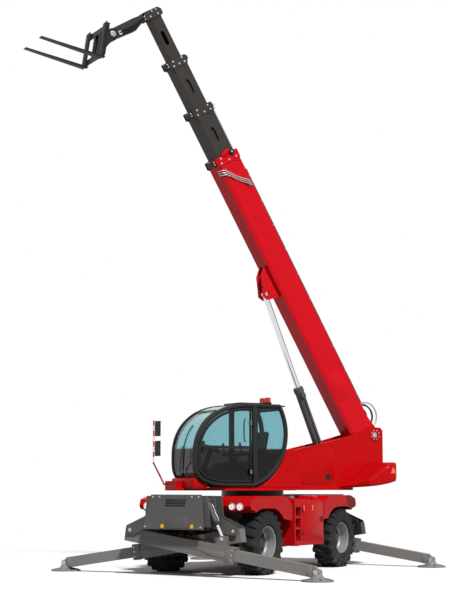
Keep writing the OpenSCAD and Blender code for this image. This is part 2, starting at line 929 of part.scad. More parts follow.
module jack_rod(side) {
    start = jack_length - jack_rod_l;
    color(chrome)
        jack_frame(side)
            difference() {
                union() {
                    rod_x(jack_rod_r, start, jack_length - jack_eye_r / 2, 0, 0);
                    rod_y(jack_eye_r, -jack_eye_w / 2, jack_eye_w / 2, jack_length, 0);
                }
                rod_y(jack_pin_r, -jack_eye_w, jack_eye_w, jack_length, 0);
            }
}

// Turret

plate_in_left = boom_y + boom_w / 2 + move_gap + 2;
plate_in_right = boom_y - boom_w / 2 - move_gap - 2;
base_top = turret_bottom + turret_base_t;
base_back = -pivot_back + 550;
plate_tail = 190;

// Upright plate beside the boom, from the nose to the boom's pivot
module side_plate(y_low) {
    nose = [600, base_top + 120];
    step = [300, base_top + 380];
    knee = [-500, 2200];
    rise = [-1700, pivot_z - 150];
    crest = pivot_z + 150;
    side_slab(y_low, y_low + side_plate_t)
        polygon([
            [nose.x, base_top - 5], nose, step, knee, rise,
            [-pivot_back + 300, pivot_z + 60], [-pivot_back + 120, crest],
            [60 - pivot_back - plate_tail, crest], [-pivot_back - plate_tail, crest - 60],
            [-pivot_back - plate_tail, counterweight_top],
            [-pivot_back, counterweight_top - 310], [base_back, base_top - 5]
        ]);
}

module turret_frame() {
    nose = 600;
    block_w = 430;
    block_h = 120;
    block_l = 200;
    cross_x = -pivot_back + 500;
    cross_h = 180;
    cross_t = 60;
    color(red)
        upper() {
            difference() {
                union() {
                    plan_slab(turret_bottom, base_top)
                        polygon([
                            [nose, plate_in_right - side_plate_t], [nose, cab_right], [block_front, cab_right],
                            [block_front, cab_right + block_w], [2 * nose, cab_left - 40],
                            [-300, cab_left - 40],
                            [-500, plate_in_left + side_plate_t], [base_back, plate_in_left + side_plate_t],
                            [base_back, plate_in_right - side_plate_t]
                        ]);
                    side_plate(plate_in_left);
                    side_plate(plate_in_right - side_plate_t);
                    box([block_front - block_l, cab_right, base_top - 5],
                        [block_front, cab_right + block_w, base_top + block_h]);
                    box([cross_x, plate_in_right - 5, base_top - 5],
                        [cross_x + cross_t, plate_in_left + 5, base_top + cross_h]);
                }
                rod_y(pivot_r + pin_gap, plate_in_right - 2 * side_plate_t, plate_in_left + 2 * side_plate_t,
                    -pivot_back, pivot_z);
            }
            rod_y(lift_pin_r, plate_in_right - 5, plate_in_left + 5, -lift_base_back, lift_base_z);
        }
}

module turret_covers() {
    left_in = plate_in_left + side_plate_t;
    right_in = plate_in_right - side_plate_t;
    cover_front = 560;
    cover_back = -420;
    cover_top = 2270;
    hump = 130;
    right_w = 620;
    right_front = 420;
    right_back = -1500;
    right_top = 2040;
    cut = 140;
    color(red)
        upper() {
            difference() {
                side_slab(left_in, cab_left - 45)
                    polygon([
                        [cover_front, base_top], [cover_back, base_top], [cover_back, cover_top - hump],
                        [cover_back + 0.12 * hump, cover_top - 0.5 * hump],
                        [cover_back + 0.5 * hump, cover_top - 0.12 * hump], [cover_back + hump, cover_top],
                        [cover_back + 4 * hump, cover_top]
                    ]);
                rod_y(cab_rear_r + 25, left_in - past, cab_left, cab_rear_x, cab_rear_z);
            }
            side_slab(right_in - right_w, right_in)
                polygon([
                    [right_front, turret_bottom], [right_front, right_top - cut],
                    [right_front - cut, right_top], [right_back + cut, right_top],
                    [right_back, right_top - cut], [right_back, turret_bottom]
                ]);
        }
}

module counterweight() {
    gap_left = plate_in_left + side_plate_t;
    gap_right = plate_in_right - side_plate_t;
    front = -0.6 * tail_back;
    slot_end = -pivot_back - plate_tail;
    h = counterweight_top - turret_bottom;
    flank = [[-0.72, 0.80], [-0.84, 0.94], [-0.90, 0.90], [-0.965, 0.62], [-1, 0.26]];
    edge = [
        [-0.60, 0.12], [-0.66, 0.24], [-0.72, 0.42], [-0.80, 0.78], [-0.87, 1], [-0.98, 1], [-1, 0.85],
        [-1, 0.52], [-0.95, 0.36], [-0.78, 0.16], [-0.66, 0.08]
    ];
    color(red)
        upper()
            difference() {
                intersection() {
                    plan_slab(turret_bottom, counterweight_top)
                        polygon([
                            [front, gap_left],
                            for (p = flank) [p.x * tail_back, p.y * counterweight_y],
                            for (k = [len(flank) - 1 : -1 : 0])
                                [flank[k].x * tail_back, -flank[k].y * counterweight_y],
                            [front, gap_right]
                        ]);
                    side_slab(-counterweight_y - past, counterweight_y + past)
                        polygon([for (p = edge) [p.x * tail_back, turret_bottom + p.y * h]]);
                }
                box([slot_end, gap_right, turret_bottom - past],
                    [front + past, gap_left, counterweight_top + past]);
            }
}

// Cab

// Rounded solid of the cab's side outline, drawn in by an amount on every side
module cab_form(inset, y_low, y_high) {
    intersection() {
        rod_y(cab_front_r - inset, y_low, y_high, cab_front_x, cab_front_z);
        rod_y(cab_rear_r - inset, y_low, y_high, cab_rear_x, cab_rear_z);
        box([cab_rear_x - 2 * cab_rear_r, y_low, cab_bottom + inset],
            [cab_front_x + 2 * cab_front_r, y_high, cab_top - inset]);
    }
}

// Openings of the cab, each drawn in by an amount on every side
module door_opening(inset, y_low, y_high) {
    intersection() {
        cab_form(cab_rim + inset, y_low, y_high);
        box([door_rear + inset, y_low, cab_bottom], [cab_front_x + 2 * cab_front_r, y_high, cab_top]);
    }
}

module quarter_opening(inset, y_low, y_high) {
    intersection() {
        cab_form(cab_rim + inset, y_low, y_high);
        box([cab_rear_x - 2 * cab_rear_r, y_low, quarter_sill + inset],
            [door_rear - pillar_w - inset, y_high, cab_top]);
    }
}

module right_opening(inset, y_low, y_high) {
    intersection() {
        cab_form(cab_rim + inset, y_low, y_high);
        box([0, y_low, quarter_sill + inset], [cab_front_x + 2 * cab_front_r, y_high, cab_top]);
    }
}

module screen_opening(inset) {
    box([cab_front_x + 560 + inset, cab_right + cab_rim + inset, screen_sill + inset],
        [cab_front_x + 2 * cab_front_r, cab_left - cab_rim - inset, screen_head - inset]);
}

module rear_opening(inset) {
    box([cab_rear_x - 2 * cab_rear_r, cab_right + cab_rim + inset, rear_sill + inset],
        [cab_rear_x - 800, cab_left - cab_rim - inset, rear_head - inset]);
}

module cab_frame() {
    roof_rear = cab_rear_x - sqrt(pow(cab_rear_r, 2) - pow(cab_top - cab_rear_z, 2));
    lip_l = 110;
    lip_in = 150;
    lip_t = 22;
    color(dark)
        upper() {
            difference() {
                cab_form(0, cab_right, cab_left);
                cab_form(cab_wall, cab_right + cab_wall, cab_left - cab_wall);
                door_opening(0, cab_left - cab_wall - past, cab_left + past);
                quarter_opening(0, cab_left - cab_wall - past, cab_left + past);
                right_opening(0, cab_right - past, cab_right + cab_wall + past);
                screen_opening(0);
                rear_opening(0);
            }
            cab_ring(cab_left - 5, cab_left + ring_out);
            cab_ring(cab_right - ring_out, cab_right + 5);
            box([roof_rear - lip_l, cab_right + lip_in, cab_top - 2 * lip_t],
                [roof_rear + lip_l, cab_left - lip_in, cab_top - lip_t]);
            for (level = hinge_levels) {
                rod_z(hinge_r, level, level + hinge_h, hinge_x, hinge_y);
                rod_z(hinge_pin_r, level + hinge_h - 5, level + 2 * hinge_h, hinge_x, hinge_y);
                box([hinge_x - hinge_r / 2, cab_left - 5, level],
                    [hinge_x + hinge_r / 2, hinge_y, level + hinge_h]);
            }
        }
}

// Band along the cab's outline that stands proud of its side
module cab_ring(y_low, y_high) {
    difference() {
        cab_form(0, y_low, y_high);
        cab_form(cab_rim - 5, y_low - past, y_high + past);
    }
}

module cab_glass() {
    color(glass_blue)
        upper() {
            quarter_opening(glass_fit, cab_left - glass_in - glass_t, cab_left - glass_in);
            right_opening(glass_fit, cab_right + glass_in, cab_right + glass_in + glass_t);
            intersection() {
                difference() {
                    cab_form(glass_in, cab_right, cab_left);
                    cab_form(glass_in + glass_t, cab_right - past, cab_left + past);
                }
                union() {
                    screen_opening(glass_fit);
                    rear_opening(glass_fit);
                }
            }
        }
}

module cab_door() {
    strap_l = 60;
    strap_t = 8;
    color(dark)
        upper() {
            difference() {
                door_opening(door_gap, cab_left - cab_wall, cab_left);
                difference() {
                    door_opening(door_gap + door_frame, cab_left - cab_wall - past, cab_left + past);
                    door_bar(0);
                }
            }
            for (level = hinge_levels) {
                difference() {
                    union() {
                        rod_z(hinge_r, level + hinge_h + pin_gap, level + 2 * hinge_h, hinge_x, hinge_y);
                        box([hinge_x, hinge_y - strap_t / 2, level + hinge_h + pin_gap],
                            [door_rear + strap_l, hinge_y + strap_t / 2, level + 2 * hinge_h]);
                        box([door_rear + strap_l / 2, cab_left - 5, level + hinge_h + pin_gap],
                            [door_rear + strap_l, hinge_y + strap_t / 2, level + 2 * hinge_h]);
                    }
                    rod_z(hinge_pin_r + pin_gap, level, level + 3 * hinge_h, hinge_x, hinge_y);
                }
            }
        }
}

// Bar across the door between its two panes
module door_bar(spare) {
    half_h = 25 + spare;
    box([door_rear, cab_left - cab_wall, door_bar_z - half_h],
        [cab_front_x + 2 * cab_front_r, cab_left, door_bar_z + half_h]);
}

module door_glass() {
    pane_y = cab_left - glass_in;
    color(glass_blue)
        upper()
            difference() {
                door_opening(door_gap + door_frame + glass_fit, pane_y - glass_t, pane_y);
                door_bar(glass_fit);
            }
}

seat_mid_y = (cab_left + cab_right) / 2;
floor_z = cab_bottom + cab_wall;

module operator_seat() {
    seat_rear = 330;
    seat_front = 900;
    post_x = 660;
    post_h = 285;
    post_w = 180;
    cushion_h = 140;
    half_w = 260;
    rest_t = 130;
    rest_h = 640;
    rest_lean = 12;
    color(black)
        upper() {
            box([post_x, seat_mid_y - post_w, floor_z], [seat_front, seat_mid_y + post_w, floor_z + post_h]);
            box([seat_rear, seat_mid_y - half_w, floor_z + post_h - 5],
                [seat_front, seat_mid_y + half_w, floor_z + post_h + cushion_h]);
            translate([seat_rear + 50, 0, floor_z + post_h + cushion_h - 10])
                rotate([0, -rest_lean, 0])
                    box([-rest_t, seat_mid_y - half_w + 10, 0], [0, seat_mid_y + half_w - 10, rest_h]);
        }
}

module console() {
    half_w = 130;
    column = [1430, 280];
    column_r = 45;
    column_l = 420;
    column_lean = 22;
    wheel_r = 170;
    grip_r = 16;
    spoke_w = 36;
    outline = [[1060, 0], [1160, 0], [1350, 100], [1470, 190], [1500, 290], [1380, 300], [1180, 150]];
    color(black)
        upper() {
            side_slab(seat_mid_y - half_w, seat_mid_y + half_w)
                polygon([for (p = outline) [p.x, floor_z + p.y]]);
            translate([column.x, seat_mid_y, floor_z + column.y])
                rotate([0, -column_lean, 0]) {
                    cylinder(r = column_r, h = column_l);
                    translate([0, 0, column_l - grip_r / 2])
                        rotate_extrude()
                            translate([wheel_r, 0])
                                circle(r = grip_r);
                    box([-wheel_r - grip_r / 2, -spoke_w / 2, column_l - grip_r],
                        [wheel_r + grip_r / 2, spoke_w / 2, column_l]);
                }
        }
}

module beacons() {
    place_x = 250;
    foot_r = 60;
    foot_h = 40;
    dome_r = 52;
    dome_h = 80;
    color(amber)
        upper()
            for (inset = [130, 330]) {
                rod_z(foot_r, cab_top, cab_top + foot_h, place_x, cab_left - inset);
                rod_z(dome_r, cab_top + foot_h - 1, cab_top + foot_h + dome_h, place_x, cab_left - inset);
            }
}

module mirrors() {
    post_x = block_front + 260;
    post_y = cab_right + 40;
    bar_r = 14;
    foot_z = base_top + 60;
    bend_z = 2000;
    top_z = 2790;
    mirror_in = 40;
    mirror_w = 190;
    mirror_h = 280;
    mirror_t = 25;
    color(dark)
        upper() {
            rod_z(bar_r, bend_z, top_z, post_x, post_y);
            strut([block_front + 3 * bar_r, post_y, foot_z], [post_x, post_y, bend_z], bar_r);
            rod_x(bar_r, block_front + pin_gap, block_front + 3 * bar_r, post_y, foot_z);
            for (bend = [[block_front + 3 * bar_r, post_y, foot_z], [post_x, post_y, bend_z]]) {
                translate(bend)
                    sphere(r = 1.2 * bar_r);
            }
            for (low = [bend_z + 130, top_z - mirror_h - bar_r]) {
                box([post_x - 2 * bar_r, post_y + mirror_in, low],
                    [post_x - 2 * bar_r + mirror_t, post_y + mirror_in + mirror_w, low + mirror_h]);
                rod_y(bar_r / 2, post_y, post_y + mirror_in + 5, post_x - bar_r, low + mirror_h / 2);
            }
        }
}

// Round bar between two points
module strut(from, to, r) {
    way = to - from;
    translate(from)
        rotate([0, acos(way.z / norm(way)), atan2(way.y, way.x)])
            cylinder(r = r, h = norm(way));
}

// Boom

module section_outline(w, h, bevel) {
    polygon([
        [-w / 2, h / 2], [-w / 2, -h / 2 + bevel], [-w / 2 + bevel / 2, -h / 2], [w / 2 - bevel / 2, -h / 2],
        [w / 2, -h / 2 + bevel], [w / 2, h / 2]
    ]);
}

module section_tube(i, rear, front) {
    w = section_w(i);
    h = section_h(i);
    translate([0, 0, -boom_drop])
        difference() {
            cross_slab(rear, front)
                section_outline(w, h, bevel);
            cross_slab(rear - past, front + past)
                section_outline(w - 2 * boom_wall, h - 2 * boom_wall, bevel);
        }
}

// Raised band around the mouth of a section
module collar(i) {
    w = section_w(i);
    h = section_h(i);
    front = section_front(i);
    translate([0, 0, -boom_drop])
        difference() {
            cross_slab(front - collar_l, front)
                section_outline(w + 2 * collar_t, h + 2 * collar_t, bevel);
            cross_slab(front - collar_l - past, front + past)
                section_outline(w - boom_wall, h - boom_wall, bevel);
        }
}

// Long hole through both sides of a section, half way along the part that shows
module side_slot(i) {
    mid = section_front(i) - (boom_out + collar_l) / 2;
    half_l = 150;
    half_h = 46;
    side_slab(-boom_w, boom_w)
        polygon([
            [mid - half_l, -boom_drop - half_h / 2], [mid - half_l, -boom_drop + half_h / 2],
            [mid - half_l + half_h, -boom_drop + half_h], [mid + half_l - half_h, -boom_drop + half_h],
            [mid + half_l, -boom_drop + half_h / 2], [mid + half_l, -boom_drop - half_h / 2],
            [mid + half_l - half_h, -boom_drop - half_h], [mid - half_l + half_h, -boom_drop - half_h]
        ]);
}

// Inner section with the bearing pads for the next one in its mouth
module inner_section(i) {
    front = section_front(i);
    difference() {
        section_tube(i, section_rear(i), front);
        side_slot(i);
    }
    collar(i);
    slide_pads(front - pad_l, front - pad_end, section_w(i + 1), section_h(i + 1), boom_gap, -boom_drop);
}

module boom_1() {
    front = section_front(0);
    root = section_rear(0);
    ear_l = 420;
    ear_low = -boom_drop - boom_h / 4;
    ear_back = -2 * pivot_r - 30;
    color(red)
        boom_frame() {
            section_tube(0, root, front);
            collar(0);
            rod_y(2 * pivot_r, -boom_w / 2, boom_w / 2, 0, 0);
            rod_y(pivot_r, -boom_w / 2 - move_gap - side_plate_t, boom_w / 2 + move_gap + side_plate_t, 0, 0);
            slide_pads(front - pad_l, front - pad_end, section_w(1), section_h(1), boom_gap, -boom_drop);
            for (hand = [-1, 1]) {
                mirror([0, hand > 0 ? 0 : 1, 0]) {
                    side_slab(boom_w / 2 - 2 * boom_wall, boom_w / 2)
                        polygon([
                            [ear_back, ear_low], [ear_back, pivot_r], [-pivot_r, 2 * pivot_r],
                            [2 * pivot_r, 2 * pivot_r], [ear_l, boom_h / 2 - boom_drop - boom_wall / 2],
                            [ear_l, ear_low]
                        ]);
                    lift_ear();
                }
            }
        }
}

// Plate under the boom beside the rod's eye
module lift_ear() {
    inside = lift_eye_w / 2 + move_gap;
    ear_t = 40;
    ear_r = 110;
    back = 190;
    ahead = 520;
    top = -boom_drop - boom_h / 2 + boom_wall / 2;
    difference() {
        side_slab(inside, inside + ear_t)
            polygon([
                [lift_eye_along - back, top], [lift_eye_along + ahead, top],
                [lift_eye_along + 0.7 * ahead, -lift_eye_drop + ear_r / 2],
                [lift_eye_along + ear_r, -lift_eye_drop - ear_r / 2],
                [lift_eye_along, -lift_eye_drop - ear_r], [lift_eye_along - ear_r, -lift_eye_drop - ear_r / 2]
            ]);
        rod_y(lift_pin_r, inside - past, inside + ear_t + past, lift_eye_along, -lift_eye_drop);
    }
}

module boom_2() color(dark) boom_frame() inner_section(1);
module boom_3() color(dark) boom_frame() inner_section(2);

module boom_4() {
    front = section_front(3);
    block_back = front - collar_l;
    w = section_w(3);
    h = section_h(3);
    top = h / 2 - boom_drop;
    low = -boom_drop - h / 2;
    rim = 60;
    eye_r = 120;
    color(dark)
        boom_frame() {
            difference() {
                section_tube(3, section_rear(3), block_back + past);
                side_slot(3);
            }
            side_slab(-w / 2 - past, w / 2 + past)
                polygon([
                    [block_back, top + rim / 2], [block_back + rim / 2, top + rim], [front - rim, top + rim],
                    [front, top], [front, low - rim], [block_back, low - rim]
                ]);
            difference() {
                union() {
                    side_slab(-nose_w / 2, nose_w / 2)
                        polygon([
                            [front, low], [front - rim / 3, low - 2 * rim],
                            [tine_pivot_l + eye_r, low - 5 * rim],
                            [tine_pivot_l + eye_r - rim / 4, -nose_drop + rim],
                            [tine_pivot_l - eye_r + rim / 4, -nose_drop + rim],
                            [tine_pivot_l - eye_r, low - 6 * rim], [block_back + rim / 2, low - 2 * rim],
                            [block_back, low - rim / 2]
                        ]);
                    rod_y(eye_r, -nose_w / 2, nose_w / 2, tine_pivot_l, -nose_drop);
                }
                rod_y(tine_pin_r + pin_gap, -nose_w, nose_w, tine_pivot_l, -nose_drop);
            }
        }
}

module extension_barrel() {
    start = 800;
    end = boom_1_l - collar_l - 25;
    base = 60;
    color(dark)
        boom_frame() {
            difference() {
                rod_x(ext_barrel_r, start, end, 0, ext_rod_z);
                rod_x(ext_rod_r + pin_gap, start + base, end + past, 0, ext_rod_z);
            }
            for (loop = hose_loops)
                hose_loop(loop.x, loop.y);
        }
}

// Half loop of hose that leaves the boom's top and goes back into it
module hose_loop(y, bend) {
    translate([hose_mid, y, boom_h / 2 - boom_drop + pin_gap])
        rotate([90, 0, 0])
            rotate_extrude(angle = 180)
                translate([bend, 0])
                    circle(hose_r);
}

module extension_rod() {
    front = section_front(1);
    lug_x = front - collar_l;
    lug_l = 100;
    lug_w = 45;
    start = 2400;
    top = section_h(1) / 2 - boom_drop + collar_t;
    color(chrome)
        boom_frame() {
            rod_x(ext_rod_r, start, lug_x + lug_l, 0, ext_rod_z);
            box([lug_x, -lug_w, top], [lug_x + lug_l, lug_w, ext_rod_z + lug_w]);
        }
}

// Lift cylinder

module lift_barrel() {
    eye_r = 90;
    bore_start = 150;
    color(dark)
        lift_frame()
            difference() {
                union() {
                    rod_x(lift_r, eye_r, lift_barrel_l, 0, 0);
                    rod_y(eye_r, -lift_base_w / 2, lift_base_w / 2, 0, 0);
                    box([0, -lift_base_w / 2, -0.7 * eye_r], [1.5 * eye_r, lift_base_w / 2, 0.7 * eye_r]);
                }
                rod_x(lift_rod_r + pin_gap, bore_start, lift_barrel_l + past, 0, 0);
                rod_y(lift_pin_r + pin_gap, -lift_base_w, lift_base_w, 0, 0);
            }
}

module lift_rod() {
    eye_r = 70;
    color(chrome)
        lift_frame()
            difference() {
                union() {
                    rod_x(lift_rod_r, lift_barrel_l - lift_rod_in, lift_length - eye_r / 2, 0, 0);
                    rod_y(eye_r, -lift_eye_w / 2, lift_eye_w / 2, lift_length, 0);
                }
                rod_y(lift_pin_r, -lift_eye_w, lift_eye_w, lift_length, 0);
            }
}

// Carriage and forks, in the frame of the tines: x along them, pivot at the origin

module carriage() {
    ear_t = 36;
    inside = nose_w / 2 + move_gap;
    face = carriage_ahead;
    bar_h = 110;
    post_w = 60;
    cut = 70;
    low = -carriage_drop + tine_t + 10;
    top = low + shank_h - 60;
    half = carriage_w / 2;
    eye_r = 110;
    color(dark)
        carriage_frame() {
            difference() {
                cross_slab(face, face + plate_t)
                    polygon([
                        [-half, low], [half, low], [half, top - cut], [half - cut / 3, top - cut / 3],
                        [half - cut, top], [cut - half, top],
                        [cut / 3 - half, top - cut / 3], [-half, top - cut]
                    ]);
                for (hand = [-1, 1]) {
                    mirror([0, hand > 0 ? 0 : 1, 0])
                        box([face - past, inside + 2 * ear_t, low + bar_h],
                            [face + plate_t + past, half - post_w, top - bar_h]);
                }
                box([face - past, -inside, low + bar_h], [face + plate_t + past, inside, top - bar_h]);
            }
            for (hand = [-1, 1]) {
                mirror([0, hand > 0 ? 0 : 1, 0])
                    side_slab(inside, inside + ear_t)
                        polygon([
                            [-0.8 * eye_r, eye_r / 2], [-eye_r / 2, 0.9 * eye_r], [eye_r / 3, eye_r],
                            [face + 5, top - 60], [face + 5, low + 40], [-eye_r / 5, -0.9 * eye_r],
                            [-0.7 * eye_r, -eye_r / 2]
                        ]);
            }
            rod_y(tine_pin_r, -inside - ear_t, inside + ear_t, 0, 0);
        }
}

module forks() {
    low = -carriage_drop;
    heel = shank_x;
    tip_t = 14;
    color(black)
        carriage_frame()
            for (hand = [-1, 1]) {
                side_slab(hand * tine_spacing / 2 - tine_w / 2, hand * tine_spacing / 2 + tine_w / 2)
                    polygon([
                        [heel, low + 12], [heel + 12, low], [heel + tine_t + tine_l, low + tine_t - tip_t],
                        [heel + tine_t + tine_l, low + tine_t], [heel + tine_t, low + tine_t],
                        [heel + tine_t, low + shank_h], [heel, low + shank_h]
                    ]);
            }
}

// Corner pieces by name
module knuckle_fl() knuckle(corner_fl);
module knuckle_fr() knuckle(corner_fr);
module knuckle_rl() knuckle(corner_rl);
module knuckle_rr() knuckle(corner_rr);
module tyre_fl() tyre(corner_fl);
module tyre_fr() tyre(corner_fr);
module tyre_rl() tyre(corner_rl);
module tyre_rr() tyre(corner_rr);
module rim_fl() rim(corner_fl);
module rim_fr() rim(corner_fr);
module rim_rl() rim(corner_rl);
module rim_rr() rim(corner_rr);
module leg_outer_fl() leg_outer(corner_fl);
module leg_outer_fr() leg_outer(corner_fr);
module leg_outer_rl() leg_outer(corner_rl);
module leg_outer_rr() leg_outer(corner_rr);
module leg_inner_fl() leg_inner(corner_fl);
module leg_inner_fr() leg_inner(corner_fr);
module leg_inner_rl() leg_inner(corner_rl);
module leg_inner_rr() leg_inner(corner_rr);
module jack_barrel_fl() jack_barrel(corner_fl);
module jack_barrel_fr() jack_barrel(corner_fr);
module jack_barrel_rl() jack_barrel(corner_rl);
module jack_barrel_rr() jack_barrel(corner_rr);
module jack_rod_fl() jack_rod(corner_fl);
module jack_rod_fr() jack_rod(corner_fr);
module jack_rod_rl() jack_rod(corner_rl);
module jack_rod_rr() jack_rod(corner_rr);

chassis_frame();
front_guard();
fenders();
tank_box();
engine_cover();
engine();
chassis_lamps();
lamp_pods();
slew_ring();
front_axle();
rear_axle();
knuckle_fl();
knuckle_fr();
knuckle_rl();
knuckle_rr();
tyre_fl();
tyre_fr();
tyre_rl();
tyre_rr();
rim_fl();
rim_fr();
rim_rl();
rim_rr();
leg_outer_fl();
leg_outer_fr();
leg_outer_rl();
leg_outer_rr();
leg_inner_fl();
leg_inner_fr();
leg_inner_rl();
leg_inner_rr();
jack_barrel_fl();
jack_barrel_fr();
jack_barrel_rl();
jack_barrel_rr();
jack_rod_fl();
jack_rod_fr();
jack_rod_rl();
jack_rod_rr();
turret_frame();
turret_covers();
counterweight();
cab_frame();
cab_glass();
cab_door();
door_glass();
operator_seat();
console();
beacons();
mirrors();
boom_1();
boom_2();
boom_3();
boom_4();
extension_barrel();
extension_rod();
lift_barrel();
lift_rod();
carriage();
forks();
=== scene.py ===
"""Looks of a slewing telehandler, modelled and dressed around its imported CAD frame."""

import json
import logging
import math
from dataclasses import dataclass, field
from enum import Enum
from typing import Iterable, Optional, Sequence

import bpy
from mathutils import Matrix, Vector


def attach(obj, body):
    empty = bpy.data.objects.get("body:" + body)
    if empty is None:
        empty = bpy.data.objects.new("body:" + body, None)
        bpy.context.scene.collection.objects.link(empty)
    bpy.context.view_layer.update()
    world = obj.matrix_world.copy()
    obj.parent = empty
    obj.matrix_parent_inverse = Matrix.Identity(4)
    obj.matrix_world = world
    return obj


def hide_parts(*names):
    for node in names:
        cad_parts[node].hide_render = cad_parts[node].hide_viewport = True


LOG = logging.getLogger("telehandler")
Point = Sequence[float]
Colour = tuple[float, float, float]
Thing = bpy.types.Object
Tree = bpy.types.NodeTree
Socket = bpy.types.NodeSocket
Material = bpy.types.Material
CORNERS: tuple[str, ...] = ("fl", "fr", "rl", "rr")
HANDS: tuple[int, ...] = (-1, 1)
HALF_TURN = Matrix.Rotation(math.pi, 4, "Z")
ALONG_X = Matrix.Rotation(-math.pi / 2, 4, "Z")
UPRIGHT = Matrix.Rotation(math.pi / 2, 4, "X")

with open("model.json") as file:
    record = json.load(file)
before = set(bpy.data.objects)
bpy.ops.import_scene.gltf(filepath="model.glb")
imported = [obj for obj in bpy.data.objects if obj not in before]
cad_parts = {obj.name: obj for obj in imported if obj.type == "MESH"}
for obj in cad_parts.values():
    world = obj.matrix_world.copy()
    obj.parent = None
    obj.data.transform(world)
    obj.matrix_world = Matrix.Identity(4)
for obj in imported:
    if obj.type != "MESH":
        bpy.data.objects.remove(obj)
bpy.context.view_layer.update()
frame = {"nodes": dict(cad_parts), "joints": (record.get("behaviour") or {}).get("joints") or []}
JOINTS: dict[str, dict] = {joint["name"]: joint for joint in frame["joints"]}


class Slot(str, Enum):
    """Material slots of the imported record."""

    RED = "red_paint"
    DARK = "dark_paint"
    LEG = "leg_paint"
    TYRE = "tyre_rubber"
    RIM = "rim_paint"
    CHROME = "chrome_rod"
    GLASS = "tinted_glass"
    VINYL = "seat_vinyl"
    PLASTIC = "black_plastic"
    LENS = "lamp_lens"
    AMBER = "amber_lens"
    IRON = "engine_iron"
    FORK = "fork_steel"


class Axis(Enum):
    """The axis across a plate."""

    X = (1.0, 0.0, 0.0)
    Y = (0.0, 1.0, 0.0)
    Z = (0.0, 0.0, 1.0)


